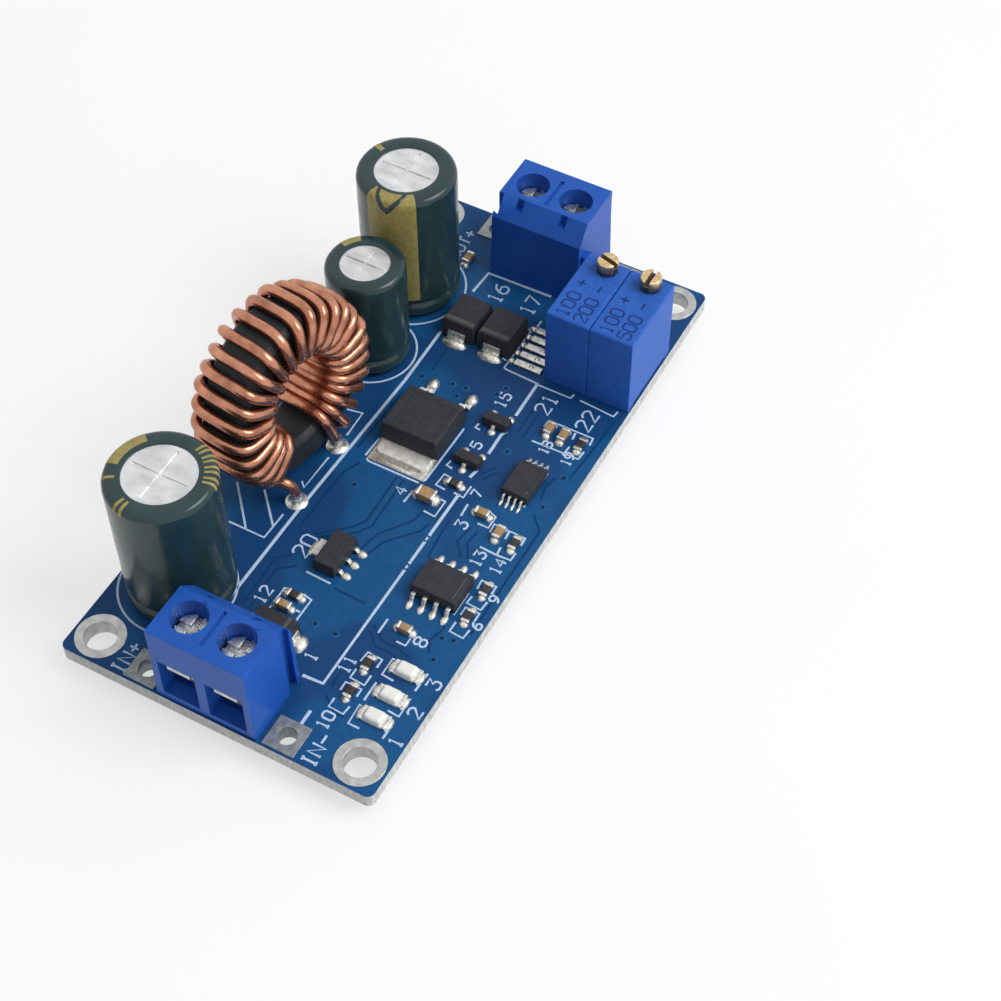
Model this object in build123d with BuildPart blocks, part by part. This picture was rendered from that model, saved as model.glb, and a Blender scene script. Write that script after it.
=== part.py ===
"""Buck-boost converter module: a populated circuit board with screw terminals, coil and trimmers.

Millimetres. The origin is the middle of the four mounting holes at the board's underside,
+X runs from the input terminal to the output terminal, +Y to the capacitor side, +Z up.
"""
from build123d import *
from math import cos, radians, sin
import os

# Circuit board
BOARD_LENGTH = 70.0
BOARD_WIDTH = 34.0
BOARD_THICKNESS = 1.6
BOARD_CORNER = 0.8
HOLE_INSET = 2.78
HOLE_RADIUS = 1.6
RIM_RADIUS = 2.5
RIM_WALL = 0.15
RIM_LIFT = 0.12
PAD_SIDE = 3.4
PAD_HOLE_RADIUS = 0.95
PAD_INSET = 1.95
PAD_PITCH_IN = 15.2
PAD_PITCH_OUT = 15.2
PIN_STICKOUT = 1.5
SOLDER_HEIGHT = 1.0
SOLDER_SPREAD = 0.5
SOLDER_TAPER = 20.0
SOLDER_SIDES = 12
DRILL_CLEARANCE = 0.12
DRILL_SIDES = 12

# Distances of parts from the board's input end
INPUT_END_X = -BOARD_LENGTH / 2
REGULATOR_FROM_END = 21.2
INPUT_DIODE_FROM_END = 10.9
FILTER_RESISTOR_FROM_END = 15.37
FILTER_CAPACITOR_FROM_END = 13.83
INPUT_CAPACITOR_FROM_END = 11.4
LAMPS_FROM_END = (13.07, 10.06, 7.38)

# Screw terminals, measured inwards from the front face and upwards from the board
POLE_PITCH = 5.08
TERMINAL_WIDTH = 10.4
TERMINAL_DEPTH = 7.8
TERMINAL_HEIGHT = 10.1
TERMINAL_INSET = 0.2
TERMINAL_FLOOR = 0.8
TERMINAL_TOP_DEPTH = 5.65
TERMINAL_SLOPE_DEPTH = 7.4
TERMINAL_SLOPE_FOOT = 8.0
TERMINAL_FLARE = 0.2
TERMINAL_FLARE_TOP = 7.2
DOVETAIL_DEPTH = 0.45
DOVETAIL_NECK = 0.9
DOVETAIL_HEAD = 1.3
DOVETAIL_AT = 6.4
DOVETAIL_TOP = 6.5
DOVETAIL_CLEARANCE = 0.1
DIMPLE_WIDTH = 0.8
DIMPLE_LENGTH = 0.9
DIMPLE_FLOOR = 8.9
POLE_GROOVE_LENGTH = 4.0
POLE_GROOVE_WIDTH = 0.4
POLE_GROOVE_DEPTH = 0.3
INPUT_CENTRE_Y = 0.6
OUTPUT_CENTRE_Y = 0.0
SCREW_DEPTH = 3.2
WELL_RADIUS = 1.8
HEAD_CLEARANCE = 0.12
HEAD_THICKNESS = 0.8
HEAD_RECESS = 1.9
SLOT_WIDTH = 0.6
SLOT_DEPTH = 0.5
SHANK_RADIUS = 1.25
RUNNING_CLEARANCE = 0.05
ENTRY_WIDTH = 4.0
ENTRY_TOP_DROP = 4.3
ENTRY_TAPER = 5.0
CAGE_WIDTH = 3.7
CAGE_LENGTH = 3.0
CAGE_WALL = 0.5
CAGE_NUT = 0.8
CAGE_SAG = 0.3
CAGE_LOW = 0.9
CAGE_RAISED = 0.8
CAGE_CLEARANCE = 0.1
STRIP_WIDTH = 2.5
STRIP_THICKNESS = 0.7
STRIP_DROP = 4.7
STRIP_FRONT = 0.3
STRIP_LEG_DEPTH = 6.0
TERMINAL_PIN_WIDTH = 1.0

# Multi-turn trimmers
TRIMMER_LENGTH = 9.53
TRIMMER_WIDTH = 4.83
TRIMMER_HEIGHT = 10.03
TRIMMER_GAP = 0.05
TRIMMER_EDGE_GAP = 0.12
TRIMMER_FROM_END = 14.1
TRIMMER_FOOT = 0.3
TRIMMER_FOOT_LENGTH = 1.2
TRIMMER_CHAMFER = 0.15
TRIMMER_SCREW_RADIUS = 1.1
TRIMMER_SCREW_LIFT = 1.5
TRIMMER_SCREW_INSET = 1.35
TRIMMER_SCREW_OFFSET = -0.35
TRIMMER_SCREW_CHAMFER = 0.12
TRIMMER_SHAFT_RADIUS = 0.8
TRIMMER_SHAFT_DEPTH = 5.0
TRIMMER_SLOT_WIDTH = 0.5
TRIMMER_SLOT_DEPTH = 0.6
TRIMMER_PIN_PITCH = 2.54
TRIMMER_PIN_RADIUS = 0.25
PIN_SIDES = 12

# Electrolytic capacitors: name, position, can radius, height over all, disc radius, lead pitch
CAPACITORS = (
    ("input_capacitor", (INPUT_END_X + INPUT_CAPACITOR_FROM_END, 10.75), 5.1, 17.1, 3.5, 5.0),
    ("middle_capacitor", (11.1, 10.65), 3.95, 12.9, 2.55, 3.5),
    ("output_capacitor", (21.2, 11.6), 5.0, 16.8, 3.3, 5.0),
)
SLEEVE_WALL = 0.18
CAN_LIFT = 0.5
CAN_EDGE = 0.6
BEAD_HEIGHT = 2.2
BEAD_WIDTH = 1.0
BEAD_DEPTH = 0.45
SCORE_REACH = 1.7
SCORE_WIDTH = 0.25
SCORE_DEPTH = 0.12
CAPACITOR_LEAD_RADIUS = 0.3

# Coil: a ring core standing on edge, wound with thick enamelled wire
CORE_OUTER_RADIUS = 9.0
CORE_INNER_RADIUS = 5.3
CORE_HEIGHT = 5.3
CORE_CHAMFER = 0.6
COIL_CENTRE_SHARE = -0.07
COIL_CENTRE = (COIL_CENTRE_SHARE * BOARD_LENGTH, 10.4)
COIL_LIFT = 0.6
COIL_YAW = -7.0
COIL_LEAN = 3.5
FIRST_TURN = 30.0
LAST_TURN = 341.0
WIRE_RADIUS = 0.48
WIRE_SIDES = 8
WIRE_GAP = 0.03
WIRE_CORNER = 0.9
TURNS = 25
TAIL_STEP = 1.1
TAIL_FEET = ((-9.75, 6.72), (-1.77, 6.94))

# Surface-mounted parts on the board's top face, positions from the board's centre
LEAD_THICKNESS = 0.15
KNEE_SHARE = 0.35
HEEL_SHARE = 0.5
BODY_LIFT = 0.1
BODY_TAPER = 9.0
AMPLIFIER_AT = (-12.2, -11.25)
CONTROLLER_AT = (2.75, -12.05)
REGULATOR_AT = (INPUT_END_X + REGULATOR_FROM_END, -0.3)
TRANSISTORS_AT = ((8.34, -5.86), (2.64, -5.71))
RECTIFIERS_AT = ((19.0, -0.7), (18.9, 3.45))
INPUT_DIODE_AT = (INPUT_END_X + INPUT_DIODE_FROM_END, 0.15)
POWER_AT = (3.95, 0.2)
AMPLIFIER_BODY = (3.9, 4.9, 1.5)
AMPLIFIER_LEADS = (0.75, 3.1, 0.45)
AMPLIFIER_PITCH = 1.27
CONTROLLER_BODY = (4.4, 3.0, 1.0)
CONTROLLER_LEADS = (0.5, 3.2, 0.25)
CONTROLLER_PITCH = 0.65
TRANSISTOR_BODY = (1.3, 2.9, 1.0)
TRANSISTOR_LEADS = (0.45, 1.25, 0.42)
TRANSISTOR_PITCH = 1.9
RECTIFIER_BODY = (4.5, 3.85, 2.15)
RECTIFIER_LEADS = (1.0, 2.9, 2.0)
INPUT_DIODE_BODY = (4.3, 2.6, 2.0)
INPUT_DIODE_LEADS = (0.95, 2.75, 1.5)
REGULATOR_BODY = (2.45, 4.5, 1.4)
REGULATOR_LEADS = (0.4, 2.1, 0.45)
REGULATOR_PITCH = 1.5
POWER_BODY = (6.1, 6.6, 2.3)
POWER_LEG_LEVEL = 1.2
POWER_LEG_PITCH = 4.57
POWER_LEG_REACH = 6.25
POWER_LEG_WIDTH = 0.8
POWER_TAB_WIDTH = 5.8
POWER_TAB_REACH = 1.7
POWER_TAB_CHAMFER = 0.4
POWER_TAB_THICKNESS = 0.5
RESISTORS_ALONG_X = (
    (-10.39, -14.97), (-13.85, -14.99), (-4.22, -14.75), (-22.96, -9.46), (-26.3, -9.57), (9.86, -14.65))
RESISTORS_ALONG_Y = ((-0.51, -5.93), (INPUT_END_X + FILTER_RESISTOR_FROM_END, 0.73))
CAPACITORS_ALONG_X = ((-3.91, -12.8), (10.16, -10.96), (10.02, -12.62), (27.27, 8.1))
CAPACITORS_ALONG_Y = ((-18.0, -10.5), (-2.55, -10.24), (INPUT_END_X + FILTER_CAPACITOR_FROM_END, 0.95))
LARGE_CAPACITOR_AT = (-3.23, -4.29)
RESISTOR_SIZE = (1.6, 0.8, 0.45)
CHIP_CAPACITOR_SIZE = (1.6, 0.8, 0.75)
LARGE_CAPACITOR_SIZE = (2.0, 1.25, 0.9)
CHIP_CAP_LENGTH = 0.35
CHIP_CAP_RISE = 0.03
LAMPS_AT = tuple((INPUT_END_X + x, y) for x, y in zip(LAMPS_FROM_END, (-13.02, -13.08, -12.99)))
LAMP_SIZE = (1.5, 2.9, 0.35)
LAMP_LENS = (1.5, 2.0, 0.5)
LAMP_TERMINAL = 0.35
STRIP_BANK_X = 19.2
STRIP_BANK_COUNT = 5
STRIP_BANK_PITCH = 1.25
STRIP_BANK_WIDTH = 0.85
STRIP_BANK_THICKNESS = 0.3
STRIP_BANK_GAPS = (0.57, 0.77)

TOP = BOARD_THICKNESS
HOLE_X = BOARD_LENGTH / 2 - HOLE_INSET
HOLE_Y = BOARD_WIDTH / 2 - HOLE_INSET
PIN_BOTTOM = -PIN_STICKOUT
ENTRY_TOP = TERMINAL_HEIGHT - ENTRY_TOP_DROP
STRIP_TOP = TERMINAL_HEIGHT - STRIP_DROP
STRIP_BOTTOM = STRIP_TOP - STRIP_THICKNESS
CAGE_OPEN_TOP = STRIP_TOP + RUNNING_CLEARANCE + CAGE_NUT
HEAD_TOP = TERMINAL_HEIGHT - HEAD_RECESS
HEAD_BOTTOM = HEAD_TOP - HEAD_THICKNESS
HEAD_RADIUS = WELL_RADIUS - HEAD_CLEARANCE
LEG_CENTRE = STRIP_LEG_DEPTH - STRIP_THICKNESS / 2
TERMINAL_PIN_RADIUS = ((TERMINAL_PIN_WIDTH / 2) ** 2 + (STRIP_THICKNESS / 2) ** 2) ** 0.5

INPUT_TERMINAL = Plane(
    origin=(-BOARD_LENGTH / 2 + TERMINAL_INSET, INPUT_CENTRE_Y, TOP), x_dir=(1, 0, 0), z_dir=(0, 0, 1))
OUTPUT_TERMINAL = Plane(
    origin=(BOARD_LENGTH / 2 - TERMINAL_INSET, OUTPUT_CENTRE_Y, TOP), x_dir=(-1, 0, 0), z_dir=(0, 0, 1))
POLES = (-POLE_PITCH / 2, POLE_PITCH / 2)
TRIMMER_X = BOARD_LENGTH / 2 - TRIMMER_FROM_END
TRIMMER_Y = -BOARD_WIDTH / 2 + TRIMMER_EDGE_GAP + TRIMMER_WIDTH / 2
TRIMMERS = (
    ("voltage_trimmer", TRIMMER_Y, 0.0),
    ("current_trimmer", TRIMMER_Y + TRIMMER_WIDTH + TRIMMER_GAP, 75.0),
)
COIL_RADIUS = CORE_OUTER_RADIUS + WIRE_GAP + 2 * WIRE_RADIUS
COIL_PLACE = (
    Pos(*COIL_CENTRE, TOP + COIL_LIFT + COIL_RADIUS) * Rot(0, 0, COIL_YAW) * Rot(-COIL_LEAN, 0, 0))

os.makedirs("parts", exist_ok=True)


def at(place, plane):
    """A plane of a local frame, carried to that frame's place on the board."""
    return Plane(place * plane.location)


def save(piece, name):
    """Label a finished piece and write it as its own file."""
    piece.part.label = name
    export_step(piece.part, f"parts/{name}.step")


def solder_cones(centres, pin_radius):
    """Solder that has climbed each pin under the board, added to the piece being built."""
    with BuildSketch(Plane.XY) as feet:
        with Locations(*centres):
            RegularPolygon(pin_radius + SOLDER_SPREAD, SOLDER_SIDES)
    extrude(feet.sketch, amount=-SOLDER_HEIGHT, taper=SOLDER_TAPER)


# Board, plated rims and wire pads
def terminal_pins(plane):
    """Centres of one terminal's two solder pins."""
    corners = [plane.from_local_coords((LEG_CENTRE, pole, 0)) for pole in POLES]
    return [(corner.X, corner.Y) for corner in corners]


def trimmer_pins(centre_y):
    """Centres of one trimmer's row of three pins."""
    return [(TRIMMER_X + step * TRIMMER_PIN_PITCH, centre_y) for step in (-1, 0, 1)]


def capacitor_pins(centre, pitch):
    """Centres of one capacitor's two leads."""
    return [(centre[0], centre[1] + side * pitch / 2) for side in (-1, 1)]


DRILLINGS = [(terminal_pins(INPUT_TERMINAL) + terminal_pins(OUTPUT_TERMINAL), TERMINAL_PIN_RADIUS)]
DRILLINGS += [(TAIL_FEET, WIRE_RADIUS)]
DRILLINGS += [(trimmer_pins(centre_y), TRIMMER_PIN_RADIUS) for _, centre_y, _ in TRIMMERS]
DRILLINGS += [(capacitor_pins(cap[1], cap[5]), CAPACITOR_LEAD_RADIUS) for cap in CAPACITORS]

PADS = []
for end, centre_y, pad_pitch in ((-1, INPUT_CENTRE_Y, PAD_PITCH_IN), (1, OUTPUT_CENTRE_Y, PAD_PITCH_OUT)):
    for side in (-1, 1):
        PADS.append((end * (BOARD_LENGTH / 2 - PAD_INSET), centre_y + side * pad_pitch / 2))

with BuildPart() as board:
    with BuildSketch():
        RectangleRounded(BOARD_LENGTH, BOARD_WIDTH, BOARD_CORNER)
        with GridLocations(2 * HOLE_X, 2 * HOLE_Y, 2, 2):
            Circle(HOLE_RADIUS + RIM_WALL, mode=Mode.SUBTRACT)
        with Locations(*PADS):
            Circle(PAD_HOLE_RADIUS + RIM_WALL, mode=Mode.SUBTRACT)
        for centres, pin_radius in DRILLINGS:
            with Locations(*centres):
                RegularPolygon(pin_radius + DRILL_CLEARANCE, DRILL_SIDES, mode=Mode.SUBTRACT)
    extrude(amount=BOARD_THICKNESS)
save(board, "circuit_board")


def plated_rim(spots, hole_radius, flange):
    """Plated barrels through the board, with the same flange on both faces."""
    with BuildPart() as rim:
        for level in (-RIM_LIFT, TOP):
            with BuildSketch(Plane.XY.offset(level)):
                with Locations(*spots):
                    add(flange)
                    Circle(hole_radius, mode=Mode.SUBTRACT)
            extrude(amount=RIM_LIFT)
        with BuildSketch():
            with Locations(*spots):
                Circle(hole_radius + RIM_WALL)
                Circle(hole_radius, mode=Mode.SUBTRACT)
        extrude(amount=BOARD_THICKNESS)
    return rim


HOLE_SPOTS = [(side_x * HOLE_X, side_y * HOLE_Y) for side_x in (-1, 1) for side_y in (-1, 1)]
save(plated_rim(HOLE_SPOTS, HOLE_RADIUS, Circle(RIM_RADIUS, mode=Mode.PRIVATE)), "mounting_hole_rims")
save(plated_rim(PADS, PAD_HOLE_RADIUS, Rectangle(PAD_SIDE, PAD_SIDE, mode=Mode.PRIVATE)), "wire_pads")


# Screw terminals
def dovetail(side, clearance):
    """Outline of the tongue on one side of a block, or of the groove that takes it on the other."""
    root = side - TERMINAL_FLARE if side > 0 else side - TERMINAL_FLARE - clearance
    tip = side + TERMINAL_FLARE + DOVETAIL_DEPTH if side > 0 else side + DOVETAIL_DEPTH + clearance
    neck = DOVETAIL_NECK / 2 + clearance
    head = DOVETAIL_HEAD / 2 + clearance
    with BuildSketch() as outline:
        with BuildLine():
            Polyline(
                (DOVETAIL_AT - neck, root), (DOVETAIL_AT - head, tip), (DOVETAIL_AT + head, tip),
                (DOVETAIL_AT + neck, root), close=True)
        make_face()
    return outline.sketch


def terminal_housing(place):
    """Moulded two-pole block with open wire entries, cage chambers and round screw wells."""
    with BuildPart() as housing:
        with BuildSketch(at(place, Plane.XZ.offset(-TERMINAL_WIDTH / 2))):
            with BuildLine():
                Polyline(
                    (0, 0), (0, TERMINAL_HEIGHT), (TERMINAL_TOP_DEPTH, TERMINAL_HEIGHT),
                    (TERMINAL_SLOPE_DEPTH, TERMINAL_SLOPE_FOOT), (TERMINAL_DEPTH, 0), close=True)
            make_face()
        extrude(amount=TERMINAL_WIDTH)
        half = TERMINAL_WIDTH / 2
        with BuildSketch(at(place, Plane.YZ)):
            with BuildLine():
                Polyline(
                    (-half - TERMINAL_FLARE, 0), (-half, TERMINAL_FLARE_TOP), (half, TERMINAL_FLARE_TOP),
                    (half + TERMINAL_FLARE, 0), close=True)
            make_face()
        extrude(amount=TERMINAL_SLOPE_DEPTH)
        with BuildSketch(at(place, Plane.XY)):
            add(dovetail(half, 0.0))
        extrude(amount=DOVETAIL_TOP)
        with BuildSketch(at(place, Plane.XY)):
            add(dovetail(-half, DOVETAIL_CLEARANCE))
        extrude(amount=TERMINAL_HEIGHT, mode=Mode.SUBTRACT)
        for pole in POLES:
            pole_place = place * Pos(0, pole, 0)
            with BuildSketch(at(pole_place, Plane.YZ)):
                with Locations((0, (TERMINAL_FLOOR + ENTRY_TOP) / 2)):
                    Rectangle(ENTRY_WIDTH, ENTRY_TOP - TERMINAL_FLOOR)
            extrude(amount=SCREW_DEPTH, taper=ENTRY_TAPER, mode=Mode.SUBTRACT)
            with BuildSketch(at(pole_place, Plane.XY.offset(TERMINAL_FLOOR))):
                with Locations((SCREW_DEPTH, 0)):
                    Rectangle(CAGE_LENGTH + 2 * CAGE_CLEARANCE, CAGE_WIDTH + 2 * CAGE_CLEARANCE)
            extrude(amount=HEAD_BOTTOM - TERMINAL_FLOOR, mode=Mode.SUBTRACT)
            with BuildSketch(at(pole_place, Plane.XY)):
                with Locations((STRIP_LEG_DEPTH, 0)):
                    Rectangle(
                        STRIP_LEG_DEPTH - SCREW_DEPTH, STRIP_WIDTH + 2 * CAGE_CLEARANCE,
                        align=(Align.MAX, Align.CENTER))
            extrude(amount=STRIP_TOP + CAGE_CLEARANCE, mode=Mode.SUBTRACT)
            with BuildSketch(at(pole_place, Plane.XY.offset(HEAD_BOTTOM))):
                with Locations((SCREW_DEPTH, 0)):
                    Circle(WELL_RADIUS)
            extrude(amount=TERMINAL_HEIGHT - HEAD_BOTTOM, mode=Mode.SUBTRACT)
            with BuildSketch(at(pole_place, Plane.XY.offset(DIMPLE_FLOOR))):
                with Locations((TERMINAL_TOP_DEPTH + DIMPLE_LENGTH / 2, 0)):
                    Rectangle(DIMPLE_LENGTH, DIMPLE_WIDTH)
            extrude(amount=TERMINAL_HEIGHT - DIMPLE_FLOOR, mode=Mode.SUBTRACT)
        with BuildSketch(at(place, Plane.XY.offset(TERMINAL_HEIGHT))):
            with Locations((SCREW_DEPTH, 0)):
                Rectangle(POLE_GROOVE_LENGTH, POLE_GROOVE_WIDTH)
        extrude(amount=-POLE_GROOVE_DEPTH, mode=Mode.SUBTRACT)
    return housing


def clamp_screw(place):
    """Slotted clamp screw: its tip stands on the contact strip, its thread carries the cage."""
    with BuildPart() as screw:
        with BuildSketch(at(place, Plane.XY.offset(STRIP_TOP + RUNNING_CLEARANCE))):
            Circle(SHANK_RADIUS)
        extrude(amount=HEAD_BOTTOM - STRIP_TOP - RUNNING_CLEARANCE)
        with BuildSketch(at(place, Plane.XY.offset(HEAD_BOTTOM))):
            Circle(HEAD_RADIUS)
        extrude(amount=HEAD_THICKNESS)
        with BuildSketch(at(place, Plane.XY.offset(HEAD_TOP))):
            Rectangle(2 * HEAD_RADIUS, SLOT_WIDTH)
            Rectangle(SLOT_WIDTH, 2 * HEAD_RADIUS)
        extrude(amount=-SLOT_DEPTH, mode=Mode.SUBTRACT)
    return screw


def wire_cage(place):
    """Rising box clamp with a sagging lower jaw and a threaded nut wall."""
    top = CAGE_OPEN_TOP + CAGE_RAISED
    low = CAGE_LOW + CAGE_RAISED
    half = CAGE_WIDTH / 2
    with BuildPart() as cage:
        with BuildSketch(at(place, Plane.YZ.offset(-CAGE_LENGTH / 2))):
            with BuildLine():
                Polyline((-half, low + CAGE_SAG), (-half, top), (half, top), (half, low + CAGE_SAG))
                ThreePointArc((half, low + CAGE_SAG), (0, low), (-half, low + CAGE_SAG))
            make_face()
            inner = half - CAGE_WALL
            with BuildLine():
                jaw = low + CAGE_WALL
                Polyline((-inner, jaw + CAGE_SAG), (-inner, top - CAGE_NUT), (inner, top - CAGE_NUT),
                         (inner, jaw + CAGE_SAG))
                ThreePointArc((inner, jaw + CAGE_SAG), (0, jaw), (-inner, jaw + CAGE_SAG))
            make_face(mode=Mode.SUBTRACT)
        extrude(amount=CAGE_LENGTH)
        with BuildSketch(at(place, Plane.XY.offset(top - CAGE_NUT))):
            Circle(SHANK_RADIUS + RUNNING_CLEARANCE)
        extrude(amount=CAGE_NUT, mode=Mode.SUBTRACT)
    return cage


def contact_strips(plane):
    """Both poles' contact strips, each bent down at the back into its solder pin."""
    place = plane.location
    with BuildPart() as strips:
        for pole in POLES:
            pole_place = place * Pos(0, pole, 0)
            with BuildSketch(at(pole_place, Plane.XZ.offset(-STRIP_WIDTH / 2))):
                with BuildLine():
                    Polyline(
                        (STRIP_FRONT, STRIP_BOTTOM), (STRIP_FRONT, STRIP_TOP), (STRIP_LEG_DEPTH, STRIP_TOP),
                        (STRIP_LEG_DEPTH, 0), (STRIP_LEG_DEPTH - STRIP_THICKNESS, 0),
                        (STRIP_LEG_DEPTH - STRIP_THICKNESS, STRIP_BOTTOM), close=True)
                make_face()
            extrude(amount=STRIP_WIDTH)
            with BuildSketch(at(pole_place, Plane.XY)):
                with Locations((LEG_CENTRE, 0)):
                    Rectangle(STRIP_THICKNESS, TERMINAL_PIN_WIDTH)
            extrude(amount=PIN_BOTTOM - BOARD_THICKNESS)
        solder_cones(terminal_pins(plane), TERMINAL_PIN_RADIUS)
    return strips


for end_name, terminal in (("input", INPUT_TERMINAL), ("output", OUTPUT_TERMINAL)):
    save(terminal_housing(terminal.location), f"{end_name}_terminal_housing")
    save(contact_strips(terminal), f"{end_name}_terminal_contacts")
    for sign, pole in (("minus", POLES[0]), ("plus", POLES[1])):
        local = pole if end_name == "input" else -pole
        screw_place = terminal.location * Pos(SCREW_DEPTH, local, 0)
        save(clamp_screw(screw_place), f"{end_name}_{sign}_clamp_screw")
        save(wire_cage(screw_place), f"{end_name}_{sign}_wire_cage")


# Trimmers
for trimmer_name, trimmer_y, slot_angle in TRIMMERS:
    screw_x = TRIMMER_X + TRIMMER_LENGTH / 2 - TRIMMER_SCREW_INSET
    screw_y = trimmer_y + TRIMMER_SCREW_OFFSET
    top = TOP + TRIMMER_HEIGHT
    with BuildPart() as box:
        with BuildSketch(Plane.XY.offset(TOP + TRIMMER_FOOT)):
            with Locations((TRIMMER_X, trimmer_y)):
                Rectangle(TRIMMER_LENGTH, TRIMMER_WIDTH)
        extrude(amount=TRIMMER_HEIGHT - TRIMMER_FOOT)
        chamfer(box.faces().sort_by(Axis.Z)[-1].edges(), TRIMMER_CHAMFER)
        with BuildSketch(Plane.XY.offset(TOP)):
            with Locations((TRIMMER_X, trimmer_y)):
                with GridLocations(TRIMMER_LENGTH - TRIMMER_FOOT_LENGTH, 0, 2, 1):
                    Rectangle(TRIMMER_FOOT_LENGTH, TRIMMER_WIDTH)
        extrude(amount=TRIMMER_FOOT)
        with BuildSketch(Plane.XY.offset(top)):
            with Locations((screw_x, screw_y)):
                Circle(TRIMMER_SHAFT_RADIUS + RUNNING_CLEARANCE)
        extrude(amount=-TRIMMER_SHAFT_DEPTH, mode=Mode.SUBTRACT)
    save(box, f"{trimmer_name}_housing")

    with BuildPart() as screw:
        with BuildSketch(Plane.XY.offset(top + RUNNING_CLEARANCE)):
            with Locations((screw_x, screw_y)):
                Circle(TRIMMER_SCREW_RADIUS)
        extrude(amount=TRIMMER_SCREW_LIFT - RUNNING_CLEARANCE)
        chamfer(screw.faces().sort_by(Axis.Z)[-1].edges(), TRIMMER_SCREW_CHAMFER)
        with BuildSketch(Plane.XY.offset(top + RUNNING_CLEARANCE)):
            with Locations((screw_x, screw_y)):
                Circle(TRIMMER_SHAFT_RADIUS)
        extrude(amount=RUNNING_CLEARANCE - TRIMMER_SHAFT_DEPTH)
        with BuildSketch(Plane.XY.offset(top + TRIMMER_SCREW_LIFT)):
            with Locations((screw_x, screw_y)):
                Rectangle(2 * TRIMMER_SCREW_RADIUS, TRIMMER_SLOT_WIDTH, rotation=slot_angle)
        extrude(amount=-TRIMMER_SLOT_DEPTH, mode=Mode.SUBTRACT)
    save(screw, f"{trimmer_name}_screw")

    with BuildPart() as pins:
        with BuildSketch(Plane.XY.offset(PIN_BOTTOM)):
            with Locations(*trimmer_pins(trimmer_y)):
                RegularPolygon(TRIMMER_PIN_RADIUS, PIN_SIDES)
        extrude(amount=TOP + TRIMMER_FOOT - PIN_BOTTOM)
        solder_cones(trimmer_pins(trimmer_y), TRIMMER_PIN_RADIUS)
    save(pins, f"{trimmer_name}_pins")


# Electrolytic capacitors
for cap_name, (cap_x, cap_y), can_radius, cap_height, disc_radius, lead_pitch in CAPACITORS:
    can_top = TOP + cap_height - SLEEVE_WALL
    can_bottom = TOP + CAN_LIFT
    turning = Plane(origin=(cap_x, cap_y, 0), x_dir=(1, 0, 0), z_dir=(0, -1, 0))
    neck_radius = can_radius - BEAD_DEPTH
    bead = TOP + BEAD_HEIGHT
    can_outline = (
        (can_radius - CAN_EDGE, can_bottom), (can_radius, can_bottom + CAN_EDGE),
        (can_radius, bead - BEAD_WIDTH / 2), (neck_radius, bead), (can_radius, bead + BEAD_WIDTH / 2),
        (can_radius, can_top - CAN_EDGE), (can_radius - CAN_EDGE, can_top))
    with BuildPart() as can:
        with BuildSketch(turning):
            with BuildLine():
                Polyline((0, can_bottom), *can_outline, (0, can_top), close=True)
            make_face()
        revolve(axis=Axis((cap_x, cap_y, 0), (0, 0, 1)))
        with BuildSketch(Plane.XY.offset(can_top)):
            with Locations((cap_x, cap_y)):
                Rectangle(SCORE_REACH * disc_radius, SCORE_WIDTH)
                Rectangle(SCORE_WIDTH, SCORE_REACH * disc_radius)
        extrude(amount=-SCORE_DEPTH, mode=Mode.SUBTRACT)
    save(can, f"{cap_name}_can")

    with BuildPart() as sleeve:
        with BuildSketch(turning):
            with BuildLine():
                skin = [(radius + SLEEVE_WALL, level) for radius, level in can_outline]
                Polyline(
                    (disc_radius, can_top), *reversed(can_outline),
                    (can_outline[0][0], can_bottom - SLEEVE_WALL), *skin[1:-1],
                    (can_outline[-1][0], can_top + SLEEVE_WALL), (disc_radius, can_top + SLEEVE_WALL),
                    close=True)
            make_face()
        revolve(axis=Axis((cap_x, cap_y, 0), (0, 0, 1)))
    save(sleeve, f"{cap_name}_sleeve")

    with BuildPart() as bung:
        with BuildSketch(Plane.XY.offset(TOP)):
            with Locations((cap_x, cap_y)):
                Circle(can_radius - CAN_EDGE)
        extrude(amount=CAN_LIFT)
    save(bung, f"{cap_name}_bung")

    with BuildPart() as leads:
        with BuildSketch(Plane.XY.offset(PIN_BOTTOM)):
            with Locations(*capacitor_pins((cap_x, cap_y), lead_pitch)):
                RegularPolygon(CAPACITOR_LEAD_RADIUS, PIN_SIDES)
        extrude(amount=TOP - PIN_BOTTOM)
        solder_cones(capacitor_pins((cap_x, cap_y), lead_pitch), CAPACITOR_LEAD_RADIUS)
    save(leads, f"{cap_name}_leads")


# Coil core
with BuildPart() as core:
    with BuildSketch(at(COIL_PLACE, Plane.XZ.offset(-CORE_HEIGHT / 2))):
        Circle(CORE_OUTER_RADIUS)
        Circle(CORE_INNER_RADIUS, mode=Mode.SUBTRACT)
    extrude(amount=CORE_HEIGHT)
    chamfer(core.edges().filter_by(GeomType.CIRCLE), CORE_CHAMFER)
save(core, "coil_core")


def ring_point(angle, radius, along):
    """A point of the coil: angle in degrees from straight down, radius and place along its axis."""
    turn = radians(angle)
    return COIL_PLACE * Pos(-radius * sin(turn), along, -radius * cos(turn))


# Coil winding: each turn goes out over the rim and back through the hole
REACH = WIRE_GAP + WIRE_RADIUS
FAR_RADIUS = CORE_OUTER_RADIUS + REACH
NEAR_RADIUS = CORE_INNER_RADIUS - REACH
SIDE = CORE_HEIGHT / 2 + REACH
TURN_STEP = (LAST_TURN - FIRST_TURN) / TURNS
TURN_SHAPE = (
    (0.00, NEAR_RADIUS + WIRE_CORNER, -SIDE), (0.12, FAR_RADIUS - WIRE_CORNER, -SIDE),
    (0.20, FAR_RADIUS, WIRE_CORNER - SIDE), (0.42, FAR_RADIUS, SIDE - WIRE_CORNER),
    (0.50, FAR_RADIUS - WIRE_CORNER, SIDE), (0.62, NEAR_RADIUS + WIRE_CORNER, SIDE),
    (0.70, NEAR_RADIUS, SIDE - WIRE_CORNER), (0.92, NEAR_RADIUS, WIRE_CORNER - SIDE))
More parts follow.
